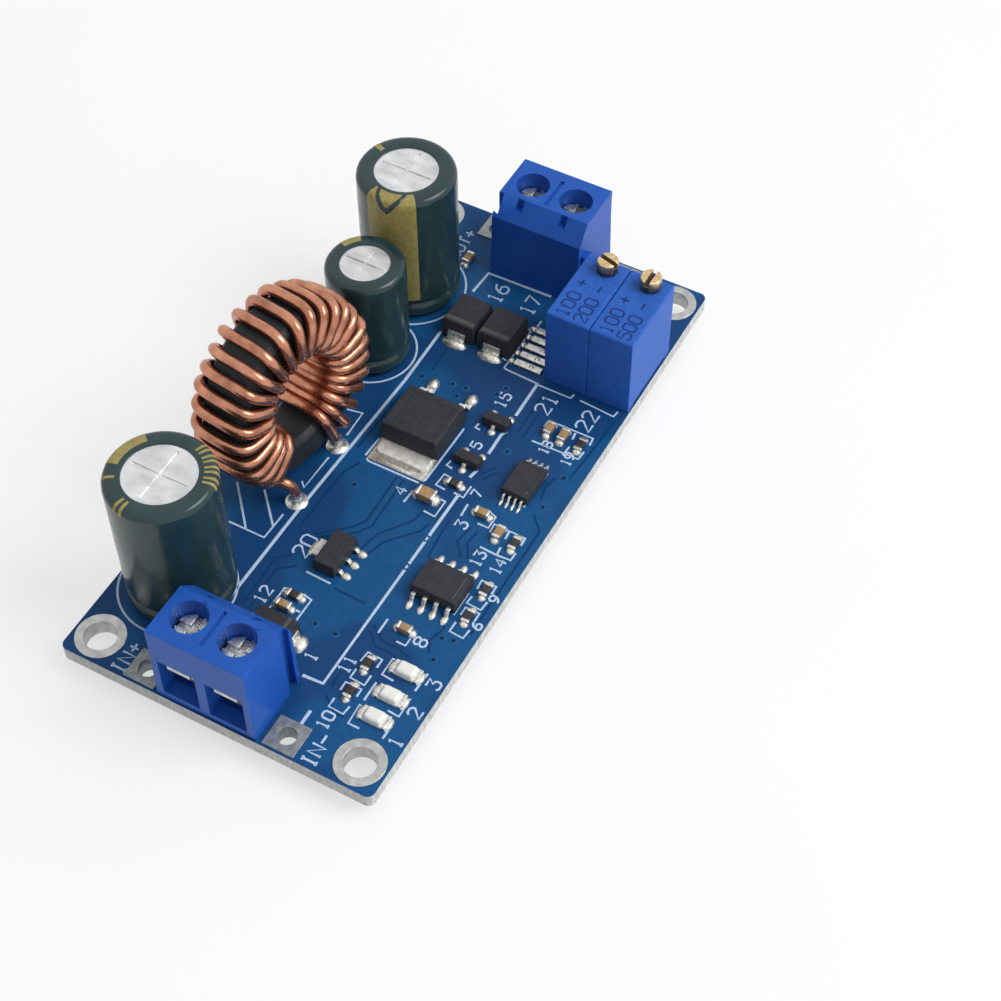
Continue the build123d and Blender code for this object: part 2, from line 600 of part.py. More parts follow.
turn_points = [
    ring_point(FIRST_TURN + (turn + share) * TURN_STEP, radius, along).position
    for turn in range(TURNS) for share, radius, along in TURN_SHAPE]
last_turn = [ring_point(LAST_TURN, radius, along).position for _, radius, along in TURN_SHAPE[:2]]


def tail(foot, wire_end):
    """A tail that leaves a turn and goes straight down through the board at one foot."""
    return [Vector(*foot, wire_end.Z - TAIL_STEP), Vector(*foot, PIN_BOTTOM)]


first_foot, last_foot = TAIL_FEET
winding_path = [
    *reversed(tail(first_foot, turn_points[2])), *turn_points[2:],
    *last_turn, *tail(last_foot, last_turn[-1])]
with BuildPart() as winding:
    with BuildLine() as wire_line:
        Polyline(*winding_path)
    with BuildSketch(Plane(origin=winding_path[0], z_dir=(0, 0, 1))):
        RegularPolygon(WIRE_RADIUS, WIRE_SIDES)
    sweep(path=wire_line.wires()[0], transition=Transition.RIGHT)
    solder_cones(TAIL_FEET, WIRE_RADIUS)
save(winding, "coil_winding")


# Surface-mounted parts
def moulded_bodies(places, size, lift=BODY_LIFT):
    """Epoxy bodies: upright to the lead line, then tapered to the top."""
    length, width, height = size
    with BuildPart() as bodies:
        for place in places:
            with BuildSketch(at(place, Plane.XY.offset(lift))):
                Rectangle(length, width)
            extrude(amount=height / 2)
            with BuildSketch(at(place, Plane.XY.offset(lift + height / 2))):
                Rectangle(length, width)
            extrude(amount=height / 2, taper=BODY_TAPER)
    return bodies


def lead_frame(places, half_length, exit_height, reach, lead_width, near_rows, far_rows):
    """Gull-wing leads from both ends of each body down to flat feet on the board."""
    knee = half_length + KNEE_SHARE * (reach - half_length)
    heel = half_length + HEEL_SHARE * (reach - half_length)
    with BuildPart() as leads:
        for place in places:
            for turn, rows in ((180, near_rows), (0, far_rows)):
                for row in rows:
                    lead_place = place * Rot(0, 0, turn) * Pos(0, row, 0)
                    with BuildSketch(at(lead_place, Plane.XZ.offset(-lead_width / 2))):
                        with BuildLine():
                            Polyline(
                                (half_length, exit_height), (half_length, exit_height + LEAD_THICKNESS),
                                (knee, exit_height + LEAD_THICKNESS), (heel + LEAD_THICKNESS, LEAD_THICKNESS),
                                (reach, LEAD_THICKNESS), (reach, 0), (heel, 0),
                                (knee - LEAD_THICKNESS, exit_height), close=True)
                        make_face()
                    extrude(amount=lead_width)
    return leads


def spots(centres, turn=0.0):
    """Places on the board's top face."""
    return [Pos(x, y, TOP) * Rot(0, 0, turn) for x, y in centres]


def rows_of(count, pitch):
    """Lead positions along one side of a body, about its middle."""
    return [(index - (count - 1) / 2) * pitch for index in range(count)]


# Name, places, body size, then lead level, reach and width, then the rows of leads at each end
LEADED_PARTS = (
    ("amplifier", spots([AMPLIFIER_AT]), AMPLIFIER_BODY, AMPLIFIER_LEADS,
     rows_of(4, AMPLIFIER_PITCH), rows_of(4, AMPLIFIER_PITCH)),
    ("controller", spots([CONTROLLER_AT]), CONTROLLER_BODY, CONTROLLER_LEADS,
     rows_of(4, CONTROLLER_PITCH), rows_of(4, CONTROLLER_PITCH)),
    ("small_transistor", spots(TRANSISTORS_AT), TRANSISTOR_BODY, TRANSISTOR_LEADS,
     [0.0], rows_of(2, TRANSISTOR_PITCH)),
    ("rectifier", spots(RECTIFIERS_AT), RECTIFIER_BODY, RECTIFIER_LEADS, [0.0], [0.0]),
    ("input_diode", spots([INPUT_DIODE_AT], 90), INPUT_DIODE_BODY, INPUT_DIODE_LEADS, [0.0], [0.0]),
    ("regulator", spots([REGULATOR_AT], 90), REGULATOR_BODY, REGULATOR_LEADS,
     rows_of(3, REGULATOR_PITCH), [0.0]),
)
for part_name, places, size, lead_sizes, near_rows, far_rows in LEADED_PARTS:
    save(moulded_bodies(places, size), f"{part_name}_body")
    save(lead_frame(places, size[0] / 2, *lead_sizes, near_rows, far_rows), f"{part_name}_leads")

# Power transistor: its tab lies flat on the board and holds the body
power_place = Pos(*POWER_AT, TOP)
save(moulded_bodies([power_place], POWER_BODY, POWER_TAB_THICKNESS), "power_transistor_body")
power_legs = lead_frame(
    [power_place], POWER_BODY[0] / 2, POWER_LEG_LEVEL, POWER_LEG_REACH, POWER_LEG_WIDTH, [],
    rows_of(2, POWER_LEG_PITCH))
with BuildPart() as power_metal:
    with BuildSketch(at(power_place, Plane.XY)):
        with Locations((-POWER_BODY[0] / 2 - POWER_TAB_REACH, 0)):
            Rectangle(POWER_BODY[0] + POWER_TAB_REACH, POWER_TAB_WIDTH, align=(Align.MIN, Align.CENTER))
    extrude(amount=POWER_TAB_THICKNESS)
    chamfer(power_metal.edges().filter_by(Axis.Z).sort_by(Axis.X)[:2], POWER_TAB_CHAMFER)
    add(power_legs.part)
save(power_metal, "power_transistor_metal")


def chip_bodies(places_and_sizes):
    """Ceramic blocks between the end caps of chip resistors and capacitors."""
    with BuildPart() as bodies:
        for place, (length, width, height) in places_and_sizes:
            with BuildSketch(at(place, Plane.XY.offset(CHIP_CAP_RISE))):
                Rectangle(length - 2 * CHIP_CAP_LENGTH, width)
            extrude(amount=height)
    return bodies


def chip_caps(places_and_sizes):
    """Tinned end caps, a little thicker than the block that they close."""
    with BuildPart() as caps:
        for place, (length, width, height) in places_and_sizes:
            with BuildSketch(at(place, Plane.XY)):
                with GridLocations(length - CHIP_CAP_LENGTH, 0, 2, 1):
                    Rectangle(CHIP_CAP_LENGTH, width + 2 * CHIP_CAP_RISE)
            extrude(amount=height + 2 * CHIP_CAP_RISE)
    return caps


resistors = [(place, RESISTOR_SIZE) for place in spots(RESISTORS_ALONG_X) + spots(RESISTORS_ALONG_Y, 90)]
chip_capacitors = [
    (place, CHIP_CAPACITOR_SIZE) for place in spots(CAPACITORS_ALONG_X) + spots(CAPACITORS_ALONG_Y, 90)]
chip_capacitors += [(place, LARGE_CAPACITOR_SIZE) for place in spots([LARGE_CAPACITOR_AT], 90)]
for chip_name, chips in (("chip_resistor", resistors), ("chip_capacitor", chip_capacitors)):
    save(chip_bodies(chips), f"{chip_name}_bodies")
    save(chip_caps(chips), f"{chip_name}_end_caps")

# Indicator lamps
lamp_body_length = LAMP_SIZE[1] - 2 * LAMP_TERMINAL
with BuildPart() as lamp_bases:
    with BuildSketch(Plane.XY.offset(TOP)):
        with Locations(*LAMPS_AT):
            Rectangle(LAMP_SIZE[0], lamp_body_length)
    extrude(amount=LAMP_SIZE[2])
save(lamp_bases, "lamp_bases")
with BuildPart() as lamp_lenses:
    with BuildSketch(Plane.XY.offset(TOP + LAMP_SIZE[2])):
        with Locations(*LAMPS_AT):
            Rectangle(LAMP_LENS[0], LAMP_LENS[1])
    extrude(amount=LAMP_LENS[2], taper=BODY_TAPER)
save(lamp_lenses, "lamp_lenses")
with BuildPart() as lamp_terminals:
    with BuildSketch(Plane.XY.offset(TOP)):
        with Locations(*LAMPS_AT):
            with GridLocations(0, LAMP_SIZE[1] - LAMP_TERMINAL, 1, 2):
                Rectangle(LAMP_SIZE[0], LAMP_TERMINAL)
    extrude(amount=LAMP_SIZE[2])
save(lamp_terminals, "lamp_terminals")

# Bank of tinned current strips, in the room between the trimmers and the rectifiers
bank_start = TRIMMERS[-1][1] + TRIMMER_WIDTH / 2 + STRIP_BANK_GAPS[0]
bank_end = RECTIFIERS_AT[0][1] - RECTIFIER_BODY[1] / 2 - STRIP_BANK_GAPS[1]
with BuildPart() as strip_bank:
    with BuildSketch(Plane.XY.offset(TOP)):
        with Locations((STRIP_BANK_X, (bank_start + bank_end) / 2)):
            with GridLocations(STRIP_BANK_PITCH, 0, STRIP_BANK_COUNT, 1):
                Rectangle(STRIP_BANK_WIDTH, bank_end - bank_start)
    extrude(amount=STRIP_BANK_THICKNESS)
save(strip_bank, "tinned_strips")
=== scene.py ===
import logging
import math
from collections.abc import Callable, Iterable, Sequence
from dataclasses import dataclass, field
from enum import Enum

import bmesh
import bpy
from mathutils import Matrix, Vector


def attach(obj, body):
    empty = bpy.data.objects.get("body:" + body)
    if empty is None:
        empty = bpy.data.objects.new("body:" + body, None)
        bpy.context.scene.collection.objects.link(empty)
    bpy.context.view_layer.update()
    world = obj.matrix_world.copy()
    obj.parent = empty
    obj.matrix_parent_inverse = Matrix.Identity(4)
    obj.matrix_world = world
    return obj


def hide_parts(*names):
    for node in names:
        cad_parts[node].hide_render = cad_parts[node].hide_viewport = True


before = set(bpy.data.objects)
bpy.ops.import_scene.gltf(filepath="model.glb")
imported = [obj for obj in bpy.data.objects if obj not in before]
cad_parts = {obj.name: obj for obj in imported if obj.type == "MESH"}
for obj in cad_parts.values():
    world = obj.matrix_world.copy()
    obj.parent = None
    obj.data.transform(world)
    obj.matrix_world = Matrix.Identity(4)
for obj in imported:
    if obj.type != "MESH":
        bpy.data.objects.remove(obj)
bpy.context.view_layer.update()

Rgb = tuple[int, int, int]
Spot = tuple[float, float]
Pair = tuple[float, float]
Triple = tuple[float, float, float]

LOG = logging.getLogger("converter")
BOARD = "board"

# Sizes are in millimetres until a mesh is finished, and angles are in degrees
MM = 0.001
BOARD_TOP = 1.6
# Vertices nearer than this become one, and so do faces that bend less than this
WELD = 0.0005
FLAT = 0.1
# Solder, pads and lenses reach this far into what is under them
SUNK = 0.02
# Middles of the three lamps
LAMPS = ((-21.93, -13.02), (-24.94, -13.08), (-27.62, -12.99))


class Slot(Enum):
    """Material slots of the record."""

    MASK = "board_mask"
    TINNED_COPPER = "tinned_copper"
    TERMINAL = "terminal_plastic"
    NICKEL = "nickel_screw"
    STEEL = "plated_steel"
    TRIMMER = "trimmer_plastic"
    BRASS = "brass_screw"
    CAN = "can_aluminium"
    SLEEVE = "sleeve_film"
    RUBBER = "bung_rubber"
    CORE = "core_coating"
    COPPER = "enamelled_copper"
    EPOXY = "epoxy_black"
    TAN = "chip_ceramic_tan"
    DARK = "chip_ceramic_dark"
    LAMP_WHITE = "lamp_white"
    LAMP_RESIN = "lamp_resin"
    TIN = "tinned_metal"


def linear(colour: Rgb) -> tuple[float, float, float, float]:
    """Turns a display colour into the linear one that a shader takes.

    Args:
        colour: Red, green and blue from 0 to 255.

    Returns:
        The same colour in linear light, with an alpha of one.
    """
    parts = [value / 255 for value in colour]
    red, green, blue = (v / 12.92 if v <= 0.04045 else ((v + 0.055) / 1.055) ** 2.4 for v in parts)
    return (red, green, blue, 1.0)


class Graph:
    """The nodes of a material or of the sky."""

    def __init__(self, owner: bpy.types.Material | bpy.types.World) -> None:
        """Starts from the nodes that the owner has.

        Args:
            owner: The material or the world.
        """
        owner.use_nodes = True
        self.tree = owner.node_tree
        self.place = self.node("ShaderNodeTexCoord")

    @property
    def shader(self) -> bpy.types.Node:
        """The material's main shader."""
        return self.tree.nodes["Principled BSDF"]

    def node(self, kind: str, inputs: dict[str | int, object] | None = None, **settings: object
             ) -> bpy.types.Node:
        """Adds one node.

        Args:
            kind: The node's type.
            inputs: Values for its sockets, by name or number.
            **settings: Values for its own properties.

        Returns:
            The new node.
        """
        made = self.tree.nodes.new(kind)
        for key, value in settings.items():
            setattr(made, key, value)
        for key, value in (inputs or {}).items():
            made.inputs[key].default_value = value
        return made

    def link(self, source: bpy.types.NodeSocket, target: bpy.types.NodeSocket) -> None:
        """Joins two sockets."""
        self.tree.links.new(source, target)

    def noise(self, size: float, detail: float = 3.0, stretch: Sequence[float] = (1, 1, 1)
              ) -> bpy.types.NodeSocket:
        """Adds a noise pattern on the object's own coordinates.

        Args:
            size: Size of its patches in millimetres.
            detail: Octaves of finer pattern.
            stretch: How much longer the patches are along each axis.

        Returns:
            The socket with the pattern, from 0 to 1.
        """
        mapping = self.node("ShaderNodeMapping", {"Scale": [1 / (size * MM * part) for part in stretch]})
        self.link(self.place.outputs["Object"], mapping.inputs["Vector"])
        pattern = self.node("ShaderNodeTexNoise", {"Scale": 1.0, "Detail": detail})
        self.link(mapping.outputs["Vector"], pattern.inputs["Vector"])
        return pattern.outputs["Fac"]

    def spread(self, value: bpy.types.NodeSocket, low: float = 0.0, high: float = 1.0,
               start: float = 0.3, end: float = 0.7) -> bpy.types.NodeSocket:
        """Maps a part of a value's range onto another range.

        Args:
            value: The value. Nearly all of a noise pattern lies between the usual start and end.
            low: What the start of the part becomes.
            high: What its end becomes.
            start: Where the part starts.
            end: Where it ends.

        Returns:
            The socket with the mapped value.
        """
        made = self.node(
            "ShaderNodeMapRange", {"From Min": start, "From Max": end, "To Min": low, "To Max": high})
        self.link(value, made.inputs["Value"])
        return made.outputs["Result"]

    def mix(self, share: bpy.types.NodeSocket, first: Rgb | bpy.types.NodeSocket,
            second: Rgb | bpy.types.NodeSocket) -> bpy.types.NodeSocket:
        """Mixes two colours.

        Args:
            share: How much of the second one there is.
            first: A display colour, or a socket with a colour.
            second: The other one.

        Returns:
            The socket with the mixed colour.
        """
        made = self.node("ShaderNodeMix", data_type="RGBA")
        self.link(share, made.inputs["Factor"])
        for colour, socket in ((first, made.inputs["A"]), (second, made.inputs["B"])):
            if isinstance(colour, bpy.types.NodeSocket):
                self.link(colour, socket)
            else:
                socket.default_value = linear(colour)
        return made.outputs["Result"]

    def seen(self) -> bpy.types.NodeSocket:
        """Adds a switch that is one for rays from the camera, from gloss and through glass.

        Returns:
            The socket with the switch.
        """
        path = self.node("ShaderNodeLightPath")
        total = path.outputs["Is Camera Ray"]
        for other in ("Is Glossy Ray", "Is Transmission Ray"):
            either = self.node("ShaderNodeMath", operation="MAXIMUM")
            self.link(total, either.inputs[0])
            self.link(path.outputs[other], either.inputs[1])
            total = either.outputs[0]
        return total


@dataclass(frozen=True)
class Finish:
    """A surface finish: two mottled colours, sheen and a fine relief, sizes in millimetres."""

    name: str
    slot: Slot
    base: Rgb
    mottle: Rgb
    roughness: float = 0.5
    metallic: float = 0.0
    patch: float = 2.0
    grain: float = 0.3
    relief: float = 0.01
    unevenness: float = 0.08
    coat: float = 0.0
    coat_roughness: float = 0.08
    specular: float = 0.5
    stretch: Triple = (1, 1, 1)

    def colour(self, graph: Graph) -> bpy.types.NodeSocket:
        """Mottles the two colours, and returns the socket with them."""
        return graph.mix(graph.spread(graph.noise(self.patch, stretch=self.stretch)), self.base, self.mottle)

    def extra(self, graph: Graph) -> None:
        """Leaves the shader as it is; a special finish adds to it here."""

    def material(self) -> bpy.types.Material:
        """Makes the material once.

        Returns:
            The material of this finish.
        """
        title = f"{self.name}_finish"
        if title in bpy.data.materials:
            return bpy.data.materials[title]
        made = bpy.data.materials.new(title)
        graph = Graph(made)
        sockets = graph.shader.inputs
        graph.link(self.colour(graph), sockets["Base Color"])
        for key, value in (("Metallic", self.metallic), ("Coat Weight", self.coat),
                           ("Coat Roughness", self.coat_roughness), ("Specular IOR Level", self.specular)):
            sockets[key].default_value = value
        fine = graph.noise(self.grain, stretch=self.stretch)
        rough = graph.spread(fine, self.roughness - self.unevenness, self.roughness + self.unevenness)
        graph.link(rough, sockets["Roughness"])
        bump = graph.node("ShaderNodeBump", {"Strength": 1.0, "Distance": self.relief * MM})
        graph.link(fine, bump.inputs["Height"])
        graph.link(bump.outputs["Normal"], sockets["Normal"])
        self.extra(graph)
        return made


@dataclass(frozen=True)
class MaskFinish(Finish):
    """Solder mask with darker copper pours under it."""

    pour: Rgb = (20, 66, 116)
    pour_size: float = 11.0
    pour_detail: float = 0.5
    pour_edge: Pair = (0.47, 0.53)

    def colour(self, graph: Graph) -> bpy.types.NodeSocket:
        """Adds the pours to the mottle, and returns the socket with the colour."""
        pours = graph.spread(graph.noise(self.pour_size, self.pour_detail), 0.0, 1.0, *self.pour_edge)
        return graph.mix(pours, super().colour(graph), self.pour)


@dataclass(frozen=True)
class SolderFinish(Finish):
    """Dull solder with specks and smears of burnt flux; other metals take the same flecks in their own colour.
    """

    fleck_colour: Rgb = (104, 84, 56)
    speck: float = 0.45
    speck_detail: float = 4.0
    share: float = 0.62
    fade: float = 0.08
    cover: float = 0.85

    def colour(self, graph: Graph) -> bpy.types.NodeSocket:
        """Adds the flux to the mottle, and returns the socket with the colour."""
        pattern = graph.noise(self.speck, self.speck_detail)
        smears = graph.spread(pattern, 0.0, self.cover, self.share, self.share + self.fade)
        return graph.mix(smears, super().colour(graph), self.fleck_colour)


@dataclass(frozen=True)
class LensFinish(Finish):
    """Milky resin that lets some light through."""

    glow: float = 0.3
    depth: Triple = (0.6, 0.6, 0.5)

    def extra(self, graph: Graph) -> None:
        """Lets light into the resin."""
        graph.shader.inputs["Subsurface Weight"].default_value = self.glow
        graph.shader.inputs["Subsurface Radius"].default_value = [part * MM for part in self.depth]


MASK = MaskFinish(
    "board_mask", Slot.MASK, (22, 84, 136), (20, 77, 127), roughness=0.42, patch=0.8, grain=0.5,
    relief=0.003, specular=0.15)
EDGE = Finish(
    "board_laminate", Slot.MASK, (208, 210, 208), (170, 173, 168), roughness=0.6, patch=0.35, grain=0.15,
    relief=0.01, specular=0.2, stretch=(1, 1, 3))
TRACE = Finish(
    "covered_copper", Slot.MASK, (30, 90, 142), (24, 82, 132), roughness=0.42, patch=1.5, grain=0.4,
    relief=0.003, specular=0.1)
GAP = Finish(
    "covered_gap", Slot.MASK, (14, 56, 100), (16, 62, 108), roughness=0.45, patch=1.0, grain=0.4,
    relief=0.002, specular=0.09)
# Near-black discs in the vias' middles: painted shade inside the holes
VIA_HOLE_SHADE = Finish(
    "via_shade_disc", Slot.MASK, (10, 20, 34), (18, 34, 52), roughness=0.6, patch=0.2, grain=0.1, specular=0.2)
INK = Finish(
    "marking_ink", Slot.MASK, (196, 214, 236), (176, 198, 226), roughness=0.6, patch=0.4, grain=0.12,
    relief=0.006, specular=0.2)
TERMINAL = Finish(
    "terminal_plastic", Slot.TERMINAL, (30, 88, 180), (26, 80, 170), roughness=0.4, patch=3.0, grain=0.12,
    relief=0.005, specular=0.25)
# Bright screw metal with dark grey flecks scattered over it at random
NICKEL = SolderFinish(
    "nickel_screw", Slot.NICKEL, (238, 238, 232), (190, 190, 186), roughness=0.28, metallic=0.85, patch=0.5,
    grain=0.12, relief=0.02, fleck_colour=(92, 94, 98), speck=0.7, share=0.72)
STEEL = Finish(
    "plated_steel", Slot.STEEL, (222, 220, 214), (180, 178, 170), roughness=0.35, metallic=0.9, patch=0.8,
    grain=0.2, relief=0.01)
TRIMMER = Finish(
    "trimmer_plastic", Slot.TRIMMER, (44, 98, 188), (38, 88, 174), roughness=0.5, patch=0.5, grain=0.12,
    relief=0.01, specular=0.2)
BRASS = Finish(
    "brass_screw", Slot.BRASS, (230, 204, 160), (188, 158, 118), roughness=0.34, metallic=0.9, patch=0.35,
    grain=0.1, relief=0.015)
# Dark collar of the trimmer screws; the same dark paint on the floor of each screw's slot is painted shade
COLLAR_AND_SLOT_SHADE = Finish(
    "screw_collar_and_slot_shade", Slot.BRASS, (66, 58, 50), (40, 40, 42), roughness=0.5, metallic=0.3, patch=0.5,
    grain=0.15, relief=0.01, specular=0.3)
CAN = Finish(
    "can_aluminium", Slot.CAN, (232, 233, 234), (192, 194, 195), roughness=0.34, metallic=0.85, patch=1.3,
    grain=0.7, relief=0.03, unevenness=0.1, stretch=(1, 2, 1))
SLEEVE = Finish(
    "sleeve_film", Slot.SLEEVE, (36, 60, 62), (28, 50, 54), roughness=0.22, patch=4.0, grain=1.5,
    relief=0.015, specular=0.4)
PRINT = Finish(
    "sleeve_print", Slot.SLEEVE, (164, 152, 92), (140, 128, 74), roughness=0.4, patch=0.5, grain=0.2,
    relief=0.004, specular=0.3)
RUBBER = Finish("bung_rubber", Slot.RUBBER, (34, 34, 34), (26, 26, 26), roughness=0.7, patch=0.5, grain=0.2)
CORE = Finish(
    "core_coating", Slot.CORE, (34, 37, 42), (26, 28, 33), roughness=0.5, patch=1.0, grain=0.35,
    relief=0.03, specular=0.3)
COPPER = Finish(
    "enamelled_copper", Slot.COPPER, (210, 148, 120), (158, 104, 82), roughness=0.25, metallic=0.9,
    patch=1.6, grain=0.3, relief=0.008, coat=0.1)
EPOXY = Finish(
    "epoxy_black", Slot.EPOXY, (56, 58, 64), (46, 48, 54), roughness=0.55, patch=0.5, grain=0.1,
    relief=0.01, specular=0.2)
MARK = Finish(
    "laser_mark", Slot.EPOXY, (92, 92, 90), (76, 76, 75), roughness=0.6, patch=0.4, grain=0.1, relief=0.004,
    specular=0.2)
TAN = Finish(
    "chip_ceramic_tan", Slot.TAN, (178, 146, 106), (150, 120, 86), roughness=0.5, patch=0.4, grain=0.1,
    specular=0.3)
DARK = Finish(
    "chip_ceramic_dark", Slot.DARK, (64, 60, 58), (42, 40, 42), roughness=0.45, patch=0.3, grain=0.1,
    specular=0.3)
LAMP_WHITE = Finish(
    "lamp_white", Slot.LAMP_WHITE, (230, 230, 224), (210, 210, 204), roughness=0.5, patch=0.5, grain=0.1)
LAMP_RESIN = LensFinish(
    "lamp_resin", Slot.LAMP_RESIN, (240, 241, 236), (226, 227, 220), roughness=0.35, patch=0.5, grain=0.3)
TIN = SolderFinish(
    "tinned_metal", Slot.TIN, (236, 235, 229), (184, 182, 174), roughness=0.3, metallic=0.85, patch=0.35,
    grain=0.15, relief=0.03, fleck_colour=(116, 96, 70), share=0.64)
TAB = Finish(
    "soldered_tab", Slot.TIN, (242, 242, 238), (206, 205, 199), roughness=0.38, metallic=0.3, patch=0.5,
    grain=0.25, relief=0.02)
RIM = Finish(
    "plated_rim", Slot.TINNED_COPPER, (196, 197, 195), (164, 166, 164), roughness=0.34, metallic=0.8,
    patch=0.8, grain=0.2, relief=0.01)
PAD = Finish(
    "tinned_pad", Slot.TINNED_COPPER, (160, 163, 163), (122, 128, 132), roughness=0.45, metallic=0.6,
    patch=0.8, grain=0.2, relief=0.012)
SIGN = Finish(
    "trimmer_ink", Slot.TRIMMER, (20, 50, 116), (24, 58, 128), roughness=0.5, patch=0.4, grain=0.12,
    relief=0.003, specular=0.15)


class Mould:
    """A mesh being shaped, in millimetres in the board's frame."""

    def __init__(self) -> None:
        """Starts with an empty mesh."""
        self.mesh = bmesh.new()

    def block(self, low: Sequence[float], high: Sequence[float], bevel: float = 0.0
              ) -> list[bmesh.types.BMVert]:
        """Adds a block between two corners.

        Args:
            low: Its lowest corner.
            high: Its highest corner.
            bevel: Width of the rounding of its edges, or nothing for none.

        Returns:
            Its vertices, before the rounding.
        """
        size = [top - bottom for bottom, top in zip(low, high)]
        middle = [(top + bottom) / 2 for bottom, top in zip(low, high)]
        place = Matrix.Translation(middle) @ Matrix.Diagonal((*size, 1))
        verts = bmesh.ops.create_cube(self.mesh, size=1.0, matrix=place)["verts"]
        if bevel:
            self.round_edges(bevel, {edge for vert in verts for edge in vert.link_edges})
        return verts

    def outline(self, profile: Sequence[Spot], centre: Sequence[float], closed: bool
                ) -> tuple[list[bmesh.types.BMVert], list[bmesh.types.BMEdge]]:
        """Draws a profile on the +X side of an upright axis.

        Args:
            profile: Radius and height of each point, going up.
            centre: The axis's place and the height's zero.
            closed: Whether the last point joins the first.

        Returns:
            Its vertices and its edges.
        """
        points = [self.mesh.verts.new((centre[0] + radius, centre[1], centre[2] + level))
                  for radius, level in profile]
        pairs = list(zip(points, points[1:])) + ([(points[-1], points[0])] if closed else [])
        return points, [self.mesh.edges.new(pair) for pair in pairs]

    def lathe(self, profile: Sequence[Spot], centre: Sequence[float], steps: int, closed: bool = False
              ) -> None:
        """Turns a profile round an upright axis.

        Args:
            profile: Radius and height of each point, going up.
            centre: The axis's place and the height's zero.
            steps: Faces round the axis.
            closed: Whether the last point joins the first.
        """
        points, edges = self.outline(profile, centre, closed)
        bmesh.ops.spin(
            self.mesh, geom=points + edges, cent=centre, axis=(0, 0, 1), angle=2 * math.pi, steps=steps,
            use_merge=True)

    def band(self, profile: Sequence[Spot], centre: Sequence[float], start: float, end: float, steps: int
             ) -> None:
        """Turns a closed profile part of the way round an upright axis and closes both ends.

        Args:
            profile: Radius and height of each point.
            centre: The axis's place and the height's zero.
            start: Where the band starts, from +X.
            end: Where it ends.
            steps: Faces along it.
        """
        before = set(self.mesh.verts)
        points, edges = self.outline(profile, centre, True)
        bmesh.ops.rotate(
            self.mesh, verts=points, cent=centre, matrix=Matrix.Rotation(math.radians(start), 3, "Z"))
        bmesh.ops.spin(
            self.mesh, geom=points + edges, cent=centre, axis=(0, 0, 1), angle=math.radians(end - start),
            steps=steps)
        rims = {edge for vert in self.mesh.verts if vert not in before for edge in vert.link_edges
                if edge.is_boundary}
        bmesh.ops.holes_fill(self.mesh, edges=list(rims), sides=0)

    def dome(self, centre: Sequence[float], size: Sequence[float]) -> None:
        """Adds a low rounded lump, such as solder.

        Args:
            centre: Its middle, on the face that it lies on.
            size: Its length, width and height.
        """
        place = Matrix.Translation(centre) @ Matrix.Diagonal((size[0] / 2, size[1] / 2, size[2], 1))
        for vert in bmesh.ops.create_icosphere(self.mesh, subdivisions=2, radius=1.0, matrix=place)["verts"]:
            vert.co.z = max(vert.co.z, centre[2] - SUNK)

    def round_edges(self, width: float, edges: Iterable[bmesh.types.BMEdge], segments: int = 2) -> None:
        """Bevels edges to a round.

        Args:
            width: Width of the rounding.
            edges: The edges.
            segments: Faces across it.
        """
        bmesh.ops.bevel(
            self.mesh, geom=list(edges), offset=width, offset_type="OFFSET", affect="EDGES",
            segments=segments, profile=0.5, material=-1, clamp_overlap=True)

    def add(self, other: bpy.types.Mesh, place: Matrix | None = None) -> list[bmesh.types.BMVert]:
        """Adds another mesh, which is in millimetres, at a place.

        Args:
            other: The mesh.
            place: Its place on the board.

        Returns:
            The vertices that came with it.
        """
        before = set(self.mesh.verts)
        self.mesh.from_mesh(other)
        new = [vert for vert in self.mesh.verts if vert not in before]
        if place is not None:
            bmesh.ops.transform(self.mesh, matrix=place, verts=new)
        return new

    def tubes(self, lines: Iterable[tuple[Sequence[Vector], float]], roundness: int = 1
              ) -> list[bmesh.types.BMVert]:
        """Adds closed tubes along polylines.

        Args:
            lines: The points of each polyline and its tube's radius.
            roundness: Steps of each quarter round the tube.

        Returns:
            The vertices that came with them.
        """
        curve = bpy.data.curves.new("line", "CURVE")
        curve.dimensions = "3D"
        curve.bevel_depth = 1.0
        curve.bevel_resolution = roundness
        curve.use_fill_caps = True
        for points, radius in lines:
            spline = curve.splines.new("POLY")
            spline.points.add(len(points) - 1)
            for knot, point in zip(spline.points, points):
                knot.co = (*point, 1)
                knot.radius = radius
        holder = bpy.data.objects.new("line", curve)
        bpy.context.scene.collection.objects.link(holder)
        bpy.context.view_layer.update()
        made = bpy.data.meshes.new_from_object(holder)
        bpy.data.objects.remove(holder)
        bpy.data.curves.remove(curve)
        verts = self.add(made)
        bpy.data.meshes.remove(made)
        return verts

    def paint(self, index: int, chosen: Callable[[bmesh.types.BMFace], bool]) -> None:
        """Gives some faces another of the piece's finishes.

        Args:
            index: Which of its finishes, from zero.
            chosen: Says whether a face gets it.
        """
        for face in self.mesh.faces:
            if chosen(face):
                face.material_index = index

